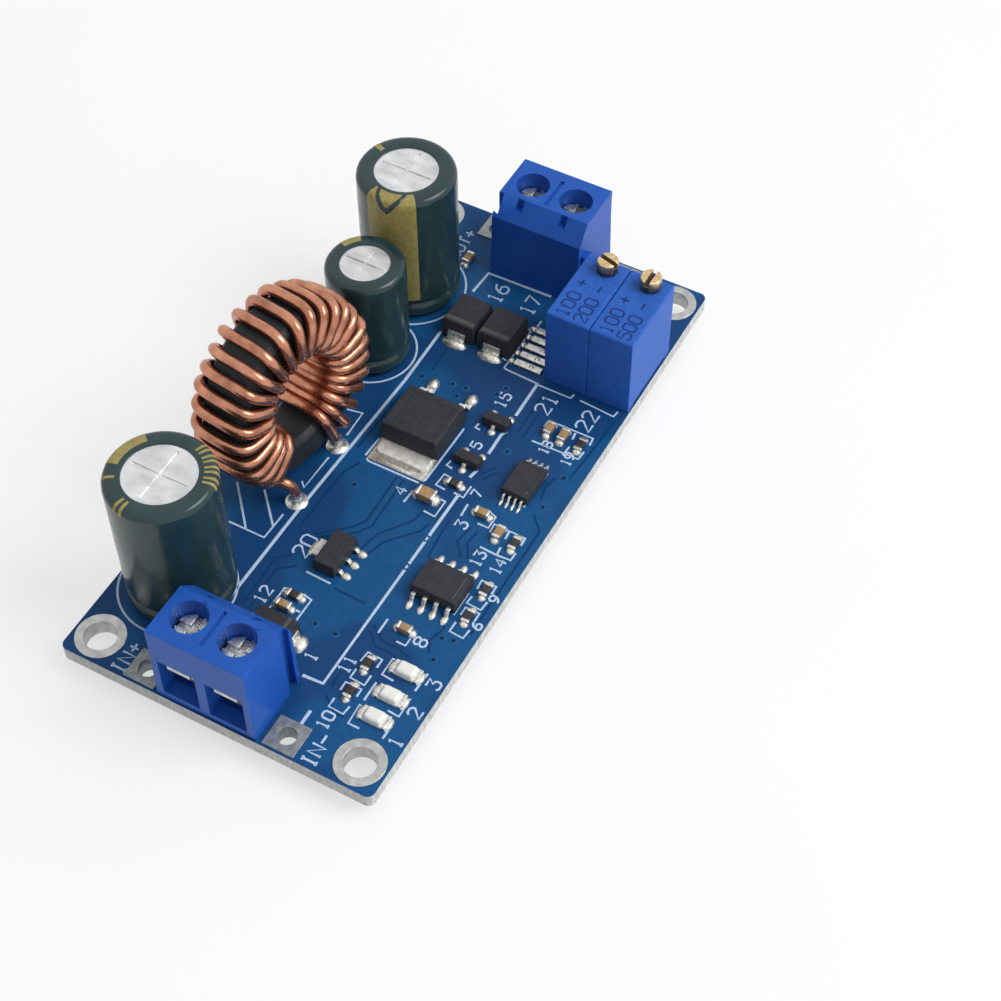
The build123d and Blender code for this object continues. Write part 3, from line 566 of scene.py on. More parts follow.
    def piece(self, name: str, finish: Finish, body: str = BOARD, replaces: Sequence[str] = (),
              smooth: float = 35.0, others: Sequence[Finish] = ()) -> None:
        """Finishes the mesh as a piece that rides on a body.

        Args:
            name: The piece's name.
            finish: Its finish.
            body: The body that it moves with.
            replaces: The CAD nodes that it stands for.
            smooth: Angle under which neighbouring faces shade as one.
            others: Further finishes, for the faces painted with them.
        """
        bmesh.ops.remove_doubles(self.mesh, verts=self.mesh.verts, dist=WELD)
        bmesh.ops.recalc_face_normals(self.mesh, faces=self.mesh.faces)
        bmesh.ops.scale(self.mesh, vec=(MM, MM, MM), verts=self.mesh.verts)
        data = bpy.data.meshes.new(name)
        self.mesh.to_mesh(data)
        self.mesh.free()
        data.shade_smooth()
        data.set_sharp_from_angle(angle=math.radians(smooth))
        for each in (finish, *others):
            data.materials.append(each.material())
        made = bpy.data.objects.new(name, data)
        bpy.context.scene.collection.objects.link(made)
        flat_faces = made.modifiers.new("flat_faces", "WEIGHTED_NORMAL")
        flat_faces.weight = 100
        flat_faces.keep_sharp = True
        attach(made, body)
        if replaces:
            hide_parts(*replaces)
        LOG.info("%s: %d faces on %s", name, len(data.polygons), body)


def dress(node: str, finish: Finish) -> None:
    """Gives a carried-over CAD node its finish.

    Args:
        node: The node's name.
        finish: Its finish.
    """
    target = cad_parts[node]
    if not target.material_slots:
        target.data.materials.append(finish.material())
    for material_slot in target.material_slots:
        material_slot.material = finish.material()
    LOG.info("%s: dressed as %s", node, finish.name)


def rounded(node: str, width: float, least: float = 30.0, shortest: float = 0.0) -> Mould:
    """Copies a CAD node's shape in millimetres and rounds its edges.

    Args:
        node: The node's name.
        width: Width of the rounding, or nothing for none.
        least: Only edges sharper than this angle are rounded.
        shortest: Only edges longer than this are rounded.

    Returns:
        The copy, ready for more shaping.
    """
    mould = Mould()
    mould.add(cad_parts[node].data, Matrix.Scale(1 / MM, 4))
    bm = mould.mesh
    bmesh.ops.remove_doubles(bm, verts=bm.verts, dist=WELD)
    bmesh.ops.dissolve_limit(bm, angle_limit=math.radians(FLAT), verts=bm.verts, edges=bm.edges)
    if width:
        sharp = [edge for edge in bm.edges if edge.is_manifold and edge.calc_length() > shortest
                 and abs(edge.calc_face_angle(0)) > math.radians(least)]
        mould.round_edges(width, sharp)
    return mould


def softened(node: str, finish: Finish, width: float, body: str = BOARD) -> None:
    """Stands a copy of a CAD node with rounded edges in its place.

    Args:
        node: The node's name.
        finish: The copy's finish.
        width: Width of the rounding.
        body: The body that it moves with.
    """
    rounded(node, width).piece(f"{node}_rounded", finish, body, [node])


@dataclass
class Ribbons:
    """Flat ribbons along polylines on a face: printed lines, numbers, marks and the gaps between traces."""

    height: float
    lines: list[tuple[list[Vector], float]] = field(default_factory=list)

    def line(self, points: Iterable[Sequence[float]], width: float) -> None:
        """Adds one polyline of a width."""
        self.lines.append(([Vector((point[0], point[1], 0)) for point in points], width))

    def piece(self, name: str, finish: Finish, level: float) -> None:
        """Makes all the lines one piece that lies on the face.

        Args:
            name: The piece's name.
            finish: Its finish.
            level: Height of the face.
        """
        mould = Mould()
        for vert in mould.tubes([(points, width / 2) for points, width in self.lines]):
            vert.co.z = level + max(-self.height, min(self.height, vert.co.z))
        mould.piece(name, finish, smooth=60.0)


# Strokes of plain numbers and signs, on a grid that is 4 wide and 6 high
GLYPH_HEIGHT = 6
GLYPH_PITCH = 5.4
GLYPHS = {
    "0": [[(0, 1), (0, 5), (1, 6), (3, 6), (4, 5), (4, 1), (3, 0), (1, 0), (0, 1)]],
    "1": [[(1, 5), (2, 6), (2, 0)], [(1, 0), (3, 0)]],
    "2": [[(0, 5), (1, 6), (3, 6), (4, 5), (4, 4), (0, 0), (4, 0)]],
    "3": [[(0, 6), (4, 6), (2, 3.6), (3.4, 3.4), (4, 2.4), (4, 1), (3, 0), (1, 0), (0, 1)]],
    "4": [[(3, 0), (3, 6), (0, 2), (4, 2)]],
    "5": [[(4, 6), (0.4, 6), (0, 3.4), (3, 3.6), (4, 2.6), (4, 1), (3, 0), (1, 0), (0, 1)]],
    "6": [[(3.6, 6), (1.4, 5), (0, 3), (0, 1), (1, 0), (3, 0), (4, 1), (4, 2.4), (3, 3.4), (0.2, 3)]],
    "7": [[(0, 6), (4, 6), (1.4, 0)]],
    "8": [[(1, 3.2), (0, 4.2), (0, 5), (1, 6), (3, 6), (4, 5), (4, 4.2), (3, 3.2), (1, 3.2), (0, 2.2), (0, 1),
           (1, 0), (3, 0), (4, 1), (4, 2.2), (3, 3.2)]],
    "9": [[(3.8, 3), (1, 2.6), (0, 3.6), (0, 5), (1, 6), (3, 6), (4, 5), (4, 3), (2.6, 1), (0.4, 0)]],
    "I": [[(1, 6), (3, 6)], [(2, 6), (2, 0)], [(1, 0), (3, 0)]],
    "N": [[(0, 0), (0, 6), (4, 0), (4, 6)]],
    "O": [[(0, 1), (0, 5), (1, 6), (3, 6), (4, 5), (4, 1), (3, 0), (1, 0), (0, 1)]],
    "U": [[(0, 6), (0, 1), (1, 0), (3, 0), (4, 1), (4, 6)]],
    "T": [[(0, 6), (4, 6)], [(2, 6), (2, 0)]],
    "+": [[(0, 3), (4, 3)], [(2, 1), (2, 5)]],
    "-": [[(0, 3), (4, 3)]],
}


def write(ribbons: Ribbons, text: str, start: Spot, height: float, width: float) -> None:
    """Draws plain numbers and signs in single strokes.

    Args:
        ribbons: The ribbons that take the strokes.
        text: What to draw.
        start: Lower left corner of the first sign.
        height: Height of the signs.
        width: Width of the strokes.
    """
    unit = height / GLYPH_HEIGHT
    for index, sign in enumerate(text):
        left = GLYPH_PITCH * index
        for stroke in GLYPHS[sign]:
            ribbons.line([Vector(start) + Vector(((left + x) * unit, y * unit)) for x, y in stroke], width)


@dataclass
class CircuitBoard:
    """The board with its printed lines and numbers, the gaps between its covered traces, and its vias.

    Places are measured from the corner by the lamps.
    """

    corner: Spot = (-35.0, -17.0)
    rim_edge: float = 0.05
    pad_edge: float = 0.04
    ink: float = 0.015
    thick: float = 0.34
    thin: float = 0.22
    stroke: float = 0.23
    gap: float = 0.006
    gap_width: float = 0.26
    ring_steps: int = 60
    via_ring: tuple[Spot, ...] = ((0.2, 0.002), (0.24, 0.03), (0.4, 0.03), (0.46, 0.0), (0.2, -0.05))
    # Profile of the dark disc that paints the shade inside each via's hole
    via_shade_disc: tuple[Spot, ...] = ((0.0, 0.006), (0.2, 0.006), (0.2, -0.04), (0.0, -0.04))
    silk: tuple[tuple[Spot, ...], ...] = (
        ((12.45, 23.08), (24.75, 22.97), (44.22, 22.39), (51.81, 22.54)),
        ((58.48, 22.42), (61.72, 22.25), (61.85, 14.66)),
        ((8.2, 12.3), (8.35, 10.15), (33.69, 10.09)),
        ((36.03, 10.19), (37.2, 10.0)),
        ((39.58, 10.02), (42.4, 10.1), (43.1, 9.8)),
        ((45.31, 10.01), (50.2, 10.1)),
        ((5.3, 9.6), (3.5, 9.6)),
    )
    outlines: tuple[tuple[Spot, ...], ...] = (
        ((18.4, 18.3), (18.3, 15.5)),
        ((12.8, 19.1), (15.8, 19.1), (15.8, 18.1)),
        ((16.0, 17.1), (15.8, 16.1), (12.9, 16.1)),
        ((14.1, 17.2), (14.1, 16.3)),
        ((11.8, 14.8), (11.7, 14.3), (11.4, 14.4)),
        ((12.1, 8.4), (13.3, 8.3), (13.2, 6.7), (12.2, 6.7)),
        ((11.2, 8.3), (10.1, 8.3), (10.0, 6.7), (11.2, 6.7)),
        ((8.5, 8.4), (9.5, 8.4), (9.5, 6.7), (8.6, 6.7)),
        ((7.5, 8.4), (6.5, 8.4), (6.4, 6.8), (7.4, 6.7)),
        ((13.7, 5.3), (13.8, 5.9), (11.8, 5.9), (11.7, 4.6)),
        ((13.9, 2.2), (11.7, 2.3)),
        ((10.8, 5.9), (8.6, 5.9)),
        ((10.7, 3.3), (10.7, 2.2), (8.6, 2.2), (8.7, 3.4)),
        ((7.9, 5.2), (8.0, 6.0), (5.8, 5.9), (5.8, 4.7)),
        ((7.9, 2.3), (5.9, 2.3)),
        ((23.7, 3.4), (20.8, 3.4)),
        ((17.4, 8.6), (15.6, 8.6)),
        ((17.4, 6.9), (17.3, 5.6), (15.6, 5.6), (15.6, 6.6)),
        ((24.5, 2.9), (25.6, 3.0), (25.6, 1.4), (24.6, 1.4)),
        ((23.5, 2.9), (22.6, 3.0), (22.5, 1.4), (23.6, 1.3)),
        ((21.1, 2.8), (22.1, 2.8), (22.1, 1.3), (21.1, 1.3)),
        ((20.2, 2.8), (19.0, 2.8), (18.9, 1.3), (20.0, 1.2)),
        ((29.0, 5.1), (28.9, 3.2), (29.0, 1.7), (30.0, 1.7)),
        ((28.9, 3.2), (29.9, 3.3)),
        ((31.0, 5.1), (32.1, 5.2), (32.0, 1.7), (31.0, 1.7)),
        ((32.1, 3.5), (31.0, 3.4)),
        ((36.1, 20.7), (33.5, 20.8)),
        ((33.2, 20.5), (33.0, 20.1), (33.0, 14.3)),
        ((33.5, 13.9), (41.3, 13.8)),
        ((31.9, 14.3), (30.2, 14.4)),
        ((32.3, 11.8), (32.2, 10.8), (30.1, 10.8), (30.2, 12.1)),
        ((37.0, 12.9), (36.3, 13.0), (36.2, 12.3)),
        ((42.6, 12.8), (42.0, 12.9), (41.9, 12.3)),
        ((43.9, 19.0), (45.2, 19.0)),
        ((33.5, 11.6), (33.6, 12.7), (35.2, 12.6), (35.0, 11.3)),
        ((35.1, 9.5), (33.5, 9.5), (33.6, 10.6)),
        ((33.0, 8.7), (31.4, 8.6)),
        ((33.3, 6.7), (32.9, 5.5), (31.4, 5.5), (31.4, 6.7)),
        ((40.2, 3.6), (35.3, 3.7)),
        ((56.6, 14.7), (56.4, 14.2), (50.5, 14.2), (50.4, 13.9), (50.2, 10.0)),
        ((51.6, 15.0), (51.5, 14.5)),
        ((58.2, 13.9), (57.2, 13.9)),
        ((50.1, 10.0), (50.1, 6.2), (50.7, 6.1)),
        ((50.3, 5.2), (50.0, 1.2), (50.8, 1.1)),
        ((45.4, 6.8), (46.4, 6.7), (46.4, 1.7), (45.4, 1.6)),
        ((46.2, 3.6), (45.3, 3.5)),
        ((43.2, 7.0), (43.3, 1.8), (44.4, 1.7)),
        ((43.0, 3.4), (44.3, 3.3)),
        ((37.8, 25.6), (38.1, 23.9), (34.8, 23.8)),
        ((31.5, 23.9), (27.0, 24.0), (27.6, 24.6)),
        ((23.2, 24.0), (19.9, 24.1), (19.9, 28.2)),
        ((24.4, 30.2), (20.0, 26.3)),
        ((24.9, 27.3), (21.5, 24.1)),
        ((52.5, 21.0), (51.8, 22.5)),
        ((12.2, 7.55), (12.0, 7.55)),
    )
    rings: tuple[tuple[Spot, float], ...] = (((11.1, 28.2), 5.75), ((46.2, 27.7), 4.75), ((56.2, 28.5), 5.7))
    numbers: tuple[tuple[str, Spot, float], ...] = (
        ("IN-", (0.3, 6.2), 1.4), ("IN+", (0.25, 27.0), 1.4), ("OUT+", (61.9, 26.3), 1.35),
        ("+", (64.6, 22.6), 1.3), ("10", (4.2, 7.3), 1.15), ("11", (10.3, 8.75), 1.15),
        ("1", (9.95, 12.15), 1.2), ("12", (13.2, 19.9), 1.2), ("20", (19.7, 19.25), 1.6),
        ("8", (16.2, 3.95), 1.25), ("9", (23.9, 0.35), 1.0), ("6", (20.4, 0.35), 1.0),
        ("13", (26.8, 4.05), 1.1), ("14", (26.9, 1.9), 1.1), ("3", (30.1, 7.4), 1.2),
        ("4", (30.9, 14.8), 1.2), ("7", (34.2, 8.0), 1.1), ("5", (39.6, 11.1), 1.1),
        ("15", (45.6, 11.6), 1.2), ("16", (58.3, 19.1), 1.6), ("17", (58.4, 15.2), 1.6),
        ("21", (46.9, 7.2), 1.6), ("22", (46.9, 2.5), 1.6), ("18", (42.3, 4.9), 1.0),
        ("19", (42.0, 2.2), 1.0), ("1", (5.7, 0.45), 1.3), ("2", (9.2, 0.45), 1.3),
        ("3", (12.7, 0.45), 1.3))
    vias: tuple[Spot, ...] = (
        (15.48, 2.55), (17.96, 3.07), (18.24, 1.98), (13.57, 12.06), (13.65, 14.36), (29.75, 19.84),
        (40.71, 8.52), (40.42, 1.95), (36.20, 2.05), (48.08, 12.70), (46.91, 13.14), (45.35, 21.17),
        (45.96, 17.81), (46.14, 16.34), (44.70, 16.62), (23.51, 10.18), (27.37, 10.16))
    gaps: tuple[tuple[Spot, ...], ...] = (
        ((21.6, 16.4), (22.6, 15.2), (25.6, 14.6), (28.6, 12.4), (29.9, 12.2)),
        ((21.6, 15.4), (22.4, 14.4), (25.0, 13.6), (27.8, 11.2)),
        ((22.0, 20.6), (25.2, 17.2), (26.4, 16.4), (32.6, 16.6)),
        ((21.2, 21.2), (24.8, 16.4), (26.2, 15.6), (32.6, 15.8)),
        ((15.4, 9.4), (14.2, 8.0), (14.2, 6.6), (13.9, 5.2)),
        ((16.2, 9.4), (15.0, 7.8), (15.0, 6.2), (14.6, 4.4)),
        ((15.9, 3.3), (17.2, 3.9), (19.0, 3.4), (20.6, 4.6)),
        ((26.9, 6.0), (28.6, 7.4), (30.6, 7.0)), ((27.2, 5.4), (28.8, 6.4), (30.4, 6.2)),
        ((25.4, 8.9), (28.4, 9.2), (30.4, 9.3)), ((34.2, 6.2), (35.4, 4.6), (36.6, 4.2)),
        ((36.8, 2.6), (38.6, 3.0), (40.2, 2.6)), ((40.6, 1.4), (45.6, 1.0), (49.4, 0.8)),
        ((36.4, 9.0), (38.0, 8.0)), ((37.0, 9.4), (38.4, 8.5)), ((43.6, 8.8), (49.4, 8.9)),
        ((43.2, 8.0), (46.6, 8.1)), ((7.4, 9.3), (6.2, 7.6), (6.2, 6.6)), ((8.4, 9.3), (10.2, 9.4)),
        ((12.4, 21.6), (18.4, 21.8), (19.4, 20.6)), ((12.4, 20.8), (17.2, 21.0), (18.6, 19.4)),
        ((22.6, 21.8), (30.6, 21.6), (32.4, 20.8)), ((46.6, 20.6), (50.6, 20.8)),
        ((34.0, 22.0), (42.6, 21.8)), ((17.9, 11.4), (18.0, 14.9)), ((27.6, 11.2), (29.0, 10.8)),
        ((19.6, 0.9), (33.4, 0.9)), ((33.4, 0.9), (35.0, 2.4)), ((60.4, 11.4), (64.0, 11.4)))

    def at(self, spot: Spot) -> Spot:
        """Turns a place measured from the corner into the board's frame."""
        return (spot[0] + self.corner[0], spot[1] + self.corner[1])

    def print_lines(self) -> None:
        """Lays the printed lines, outlines, rings, numbers and signs on the top face."""
        ink = Ribbons(self.ink)
        for lines, width in ((self.silk, self.thick), (self.outlines, self.thin)):
            for line in lines:
                ink.line([self.at(spot) for spot in line], width)
        turns = [math.radians(360 / self.ring_steps * step) for step in range(self.ring_steps + 1)]
        for middle, radius in self.rings:
            x, y = self.at(middle)
            ink.line([(x + radius * math.cos(turn), y + radius * math.sin(turn)) for turn in turns], self.thin)
        for sign, start, height in self.numbers:
            write(ink, sign, self.at(start), height, self.stroke)
        ink.piece("printed_lines", INK, BOARD_TOP)

    def lay_gaps(self) -> None:
        """Lays the dark gaps between the traces under the mask."""
        covered = Ribbons(self.gap)
        for line in self.gaps:
            covered.line([self.at(spot) for spot in line], self.gap_width)
        covered.piece("covered_gaps", GAP, BOARD_TOP)

    def drill(self) -> None:
        """Adds the covered rings of the vias, and near-black discs in their middles as painted shade inside the
        holes.
        """
        rings, shade_discs = Mould(), Mould()
        for spot in self.vias:
            centre = (*self.at(spot), BOARD_TOP)
            rings.lathe(self.via_ring, centre, steps=20, closed=True)
            shade_discs.lathe(self.via_shade_disc, centre, steps=16)
        rings.piece("via_rings", TRACE)
        shade_discs.piece("via_shade_discs", VIA_HOLE_SHADE)

    def build(self) -> None:
        """Dresses the board, its rims and its pads, and adds what is on its top face."""
        board = rounded("circuit_board", 0)
        board.paint(1, lambda face: abs(face.normal.z) < 0.5)
        board.piece("circuit_board_masked", MASK, replaces=["circuit_board"], smooth=20.0, others=[EDGE])
        softened("mounting_hole_rims", RIM, self.rim_edge)
        softened("wire_pads", PAD, self.pad_edge)
        self.print_lines()
        self.lay_gaps()
        self.drill()


@dataclass
class ScrewTerminal:
    """A two-pole terminal block with its screws, cages and contacts."""

    end: str
    housing_edge: float = 0.12
    contact_edge: float = 0.05
    clamp_edge: float = 0.08

    def build(self) -> None:
        """Rounds and dresses the block and its metal parts."""
        housing = f"{self.end}_terminal_housing"
        block = rounded(housing, self.housing_edge, least=50.0, shortest=2.0)
        block.piece(f"{housing}_rounded", TERMINAL, replaces=[housing])
        softened(f"{self.end}_terminal_contacts", STEEL, self.contact_edge)
        for sign in ("minus", "plus"):
            for part, finish in (("clamp_screw", NICKEL), ("wire_cage", STEEL)):
                node = f"{self.end}_{sign}_{part}"
                softened(node, finish, self.clamp_edge, node)


@dataclass
class Trimmer:
    """A multi-turn trimmer with its brass screw and plain scale numbers on top."""

    name: str
    centre_y: float
    numbers: tuple[str, str]
    centre_x: float = 20.9
    top: float = 11.63
    edge: float = 0.17
    screw_edge: float = 0.05
    collar: float = 0.62
    slot: float = 0.06
    ink: float = 0.012
    stroke: float = 0.24
    sign_height: float = 1.35
    places: tuple[Spot, ...] = ((-4.3, 0.3), (-4.3, -1.7), (0.1, 0.4), (0.1, -1.6))

    def build(self) -> None:
        """Rounds and dresses the box, its screw and its pins, paints shade on the floor of the screw's slot,
        and prints its numbers.
        """
        softened(f"{self.name}_trimmer_housing", TRIMMER, self.edge)
        node = f"{self.name}_trimmer_screw"
        screw = rounded(node, self.screw_edge)
        slot = max(vert.co.z for vert in screw.mesh.verts) - self.slot
        # The collar and the floor of the slot take the second, dark finish; on the slot floor it is painted
        # shade
        screw.paint(1, lambda face: face.calc_center_median().z < self.top + self.collar
                    or abs(face.normal.z) > 0.9 and face.calc_center_median().z < slot)
        screw.piece(f"{node}_rounded", BRASS, node, [node], others=[COLLAR_AND_SLOT_SHADE])
        dress(f"{self.name}_trimmer_pins", TIN)
        ink = Ribbons(self.ink)
        for sign, (along, across) in zip((*self.numbers, "+", "-"), self.places):
            write(ink, sign, (self.centre_x + along, self.centre_y + across), self.sign_height, self.stroke)
        ink.piece(f"{self.name}_trimmer_numbers", SIGN, self.top)


class Patch(Enum):
    """Kinds of plain print on a capacitor's sleeve."""

    RIM = "on the rolled rim"
    SIDE = "down the side"


@dataclass
class Capacitor:
    """An upright electrolytic capacitor in a printed shrink sleeve."""

    name: str
    centre: Spot
    radius: float
    height: float
    disc: float
    prints: tuple[tuple[Patch, float, float], ...]
    notch: Triple | None = None
    notch_radius: float = 0.27
    notch_sunk: float = 0.12
    wall: float = 0.18
    film: float = 0.16
    lift: float = 0.5
    bead: float = 2.2
    ink: float = 0.012
    print_wall: float = 0.06
    print_step: float = 4.0
    side_foot: float = 3.0

    @property
    def outer(self) -> float:
        """Radius of the sleeve's outside."""
        return self.radius + self.wall

    def sleeve(self) -> None:
        """Turns the sleeve's skin, with its rolled lip and the groove over the bead."""
        outer, top, foot, bead = self.outer, self.height, self.lift - self.wall, self.bead
        skin = [
            (outer - 0.75, foot), (outer - 0.3, foot + 0.08), (outer - 0.08, foot + 0.3), (outer, foot + 0.62),
            (outer, bead - 0.62), (outer - 0.1, bead - 0.4), (outer - 0.38, bead - 0.14), (outer - 0.42, bead),
            (outer - 0.38, bead + 0.14), (outer - 0.1, bead + 0.4), (outer, bead + 0.62), (outer, top - 0.75),
            (outer - 0.06, top - 0.45), (outer - 0.22, top - 0.18), (outer - 0.48, top - 0.03),
            (outer - 0.8, top), (self.disc + 0.2, top), (self.disc + 0.04, top - 0.04), (self.disc, top - 0.12)]
        lining = [(radius - self.film, level) for radius, level in skin[3:12]]
        inside = [
            (self.disc, top - 0.17), (outer - 0.85, top - 0.17), *reversed(lining),
            (outer - 0.75, foot + self.film)]
        mould = Mould()
        mould.lathe(skin + inside, (*self.centre, BOARD_TOP), steps=96, closed=True)
        mould.piece(f"{self.name}_capacitor_film", SLEEVE, replaces=[f"{self.name}_capacitor_sleeve"])

    def rim(self) -> list[Spot]:
        """Measures the sleeve's rolled rim from the side to the disc.

        Returns:
            Radius and height of each point.
        """
        outer, top = self.outer, self.height
        return [
            (outer, top - 0.85), (outer - 0.05, top - 0.45), (outer - 0.22, top - 0.17),
            (outer - 0.48, top - 0.02), (outer - 0.8, top + 0.01), (self.disc + 0.5, top + 0.01)]

    def lay_prints(self) -> None:
        """Lays the plain gold stripe, patches and ticks, as thin skins that follow the sleeve."""
        outer = self.outer + self.ink
        skins = {
            Patch.RIM: [(radius + self.ink, level + self.ink) for radius, level in self.rim()],
            Patch.SIDE: [(outer, self.side_foot), (outer, self.height - 0.84)],
        }
        mould = Mould()
        for kind, start, end in self.prints:
            skin = skins[kind]
            lining = [(radius - self.print_wall, level - self.print_wall) for radius, level in reversed(skin)]
            steps = max(3, round((end - start) / self.print_step))
            mould.band([*skin, *lining], (*self.centre, BOARD_TOP), start, end, steps)
        mould.piece(f"{self.name}_capacitor_print", PRINT)

    def lay_notch(self, start: float, tip: float, end: float) -> None:
        """Lays a dark V on the stripe's upper end.

        Args:
            start: Where its first arm starts at the disc, from +X.
            tip: Where both arms meet on the side.
            end: Where its second arm starts.
        """
        x, y = self.centre
        rows = [*reversed(self.rim()), (self.outer, self.height - 1.2)]
        arms = []
        for side in (start, end):
            arm = []
            for step, (radius, level) in enumerate(rows):
                turn = math.radians(side + (tip - side) * step / (len(rows) - 1))
                arm.append(Vector((
                    x + radius * math.cos(turn), y + radius * math.sin(turn),
                    BOARD_TOP + level - self.notch_sunk)))
            arms.append((arm, self.notch_radius))
        mould = Mould()
        mould.tubes(arms)
        mould.piece(f"{self.name}_capacitor_notch", SLEEVE, smooth=60.0)

    def build(self) -> None:
        """Makes the sleeve and its prints, and dresses the can, bung and leads."""
        self.sleeve()
        self.lay_prints()
        if self.notch:
            self.lay_notch(*self.notch)
        for part, finish in (("can", CAN), ("bung", RUBBER), ("leads", TIN)):
            dress(f"{self.name}_capacitor_{part}", finish)


@dataclass
class Coil:
    """A ring core on edge with round enamelled wire wound through it.

    Places along the wire are counted in turns from the first one's inner corner. A sway says how far the wire
    strays at most, and by which seed it differs from turn to turn.
    """

    outer: float = 9.0
    inner: float = 5.3
    height: float = 5.3
    edge: float = 0.12
    centre: Spot = (-4.9, 10.4)
    lift: float = 12.19
    yaw: float = -7.0
    lean: float = 3.5
    first: float = 30.0
    last: float = 341.0
    wire: float = 0.56
    roundness: int = 3
    turns: int = 25
    steps: int = 36
    begin: float = 0.2
    end: float = 25.1
    squareness: float = 3.6
    outer_middle: float = 0.31
    inner_middle: float = 0.81
    face_middle: float = 0.06
    gap: float = 0.02
    face_gap: float = 0.04
    inner_sway: Pair = (0.34, math.pi)
    outer_sway: Pair = (0.12, 2.4)
    face_sway: Pair = (0.18, 2.1)
    turn_sway: Pair = (2.2, 5.3)
    feet: tuple[Spot, Spot] = ((-9.75, 6.72), (-1.77, 6.94))
    tail_steps: int = 9
    tail_drop: float = 1.9
    tail_stem: float = 0.9
    tail_pulls: Pair = (0.9, 0.8)
    tail_end: float = -1.45
    soldered: float = 1.5
    solder: tuple[Spot, ...] = (
        (0.0, 0.75), (0.6, 0.66), (0.74, 0.3), (0.95, 0.12), (1.15, 0.0), (0.0, -0.02))

    def place(self) -> Matrix:
        """Returns the ring's place, its axis along the local Y."""
        return (Matrix.Translation((*self.centre, self.lift)) @ Matrix.Rotation(math.radians(self.yaw), 4, "Z")
                @ Matrix.Rotation(math.radians(-self.lean), 4, "X"))

    def sway(self, place: float, reach: float, seed: float) -> float:
        """Finds an uneven value that runs smoothly from each whole number to the next.

        Args:
            place: Where along the row of numbers.
            reach: The highest value.
            seed: Which row it is.

        Returns:
            The value, from 0 to the highest.
        """
        step = math.floor(place)
        part = (place - step) ** 2 * (3 - 2 * (place - step))
        low, high = (0.5 + 0.5 * math.cos(seed * number) for number in (step, step + 1))
        return reach * (low + (high - low) * part)

    def wire_point(self, share: float) -> Vector:
        """Finds a point of the wire, which stands off the core more on some turns than on others.

        Args:
            share: How many turns it lies from the first one's inner corner.

        Returns:
            The point on the board.
        """
        around = 2 * math.pi * (share - self.outer_middle)
        inner = self.inner - self.wire - self.gap - self.sway(share - self.inner_middle, *self.inner_sway)
        outer = self.outer + self.wire + self.gap + self.sway(share - self.outer_middle, *self.outer_sway)
        side = self.height / 2 + self.wire + self.face_gap
        side += self.sway(2 * (share - self.face_middle), *self.face_sway)
        bend = 2 / self.squareness
        out, along = math.cos(around), math.sin(around)
        radius = (outer + inner) / 2 + (outer - inner) / 2 * math.copysign(abs(out) ** bend, out)
        across = side * math.copysign(abs(along) ** bend, along)
        pitch = (self.last - self.first) / self.turns
        strayed = self.sway(share - self.outer_middle, *self.turn_sway) - self.turn_sway[0] / 2
        angle = math.radians(self.first + share * pitch + strayed)
        return self.place() @ Vector((-radius * math.sin(angle), across, -radius * math.cos(angle)))

    def tail(self, foot: Spot, start: Vector, heading: Vector) -> list[Vector]:
        """Curves the wire from where it leaves the ring down through the board.

        Args:
            foot: Where it goes through the board.
            start: Where it leaves the ring.
            heading: Its direction there.

        Returns:
            Its points from the ring to under the board.
        """
        away, up = self.tail_pulls
        knee = Vector((*foot, max(BOARD_TOP + self.tail_stem, start.z - self.tail_drop)))
        pulls = (start, start + heading * away, knee + Vector((0, 0, up)), knee)
        points = []
        for step in range(1, self.tail_steps + 1):
            share = step / self.tail_steps
            weights = ((1 - share) ** 3, 3 * share * (1 - share) ** 2, 3 * share ** 2 * (1 - share), share ** 3)
            points.append(sum((pull * weight for pull, weight in zip(pulls, weights)), Vector()))
        return points + [Vector((*foot, self.tail_end))]

    def winding(self) -> None:
        """Lays round wire along the turns and both tails."""
        count = round((self.end - self.begin) * self.steps)
        turns = [self.wire_point(self.begin + (self.end - self.begin) * step / count)
                 for step in range(count + 1)]
        first = self.tail(self.feet[0], turns[0], (turns[0] - turns[1]).normalized())
        last = self.tail(self.feet[1], turns[-1], (turns[-1] - turns[-2]).normalized())
        mould = Mould()
        mould.tubes([([*reversed(first), *turns, *last], self.wire)], self.roundness)
        mould.paint(1, lambda face: face.calc_center_median().z < BOARD_TOP + self.soldered)
        mould.piece("coil_wire", COPPER, replaces=["coil_winding"], smooth=60.0, others=[TIN])

    def build(self) -> None:
        """Makes the wire, rounds the core and solders both tails on both faces of the board."""
        softened("coil_core", CORE, self.edge)
        self.winding()
        mould = Mould()
        for foot in self.feet:
            for level, turn in ((BOARD_TOP, 1), (0.0, -1)):
                profile = [(radius, height * turn) for radius, height in self.solder]
                mould.lathe(profile, (*foot, level), steps=32)
        mould.piece("coil_solder", TIN)


def top_of(node: str) -> float:
    """Returns the height of a CAD node's highest point in millimetres."""
    return max(vert.co.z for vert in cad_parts[node].data.vertices) / MM


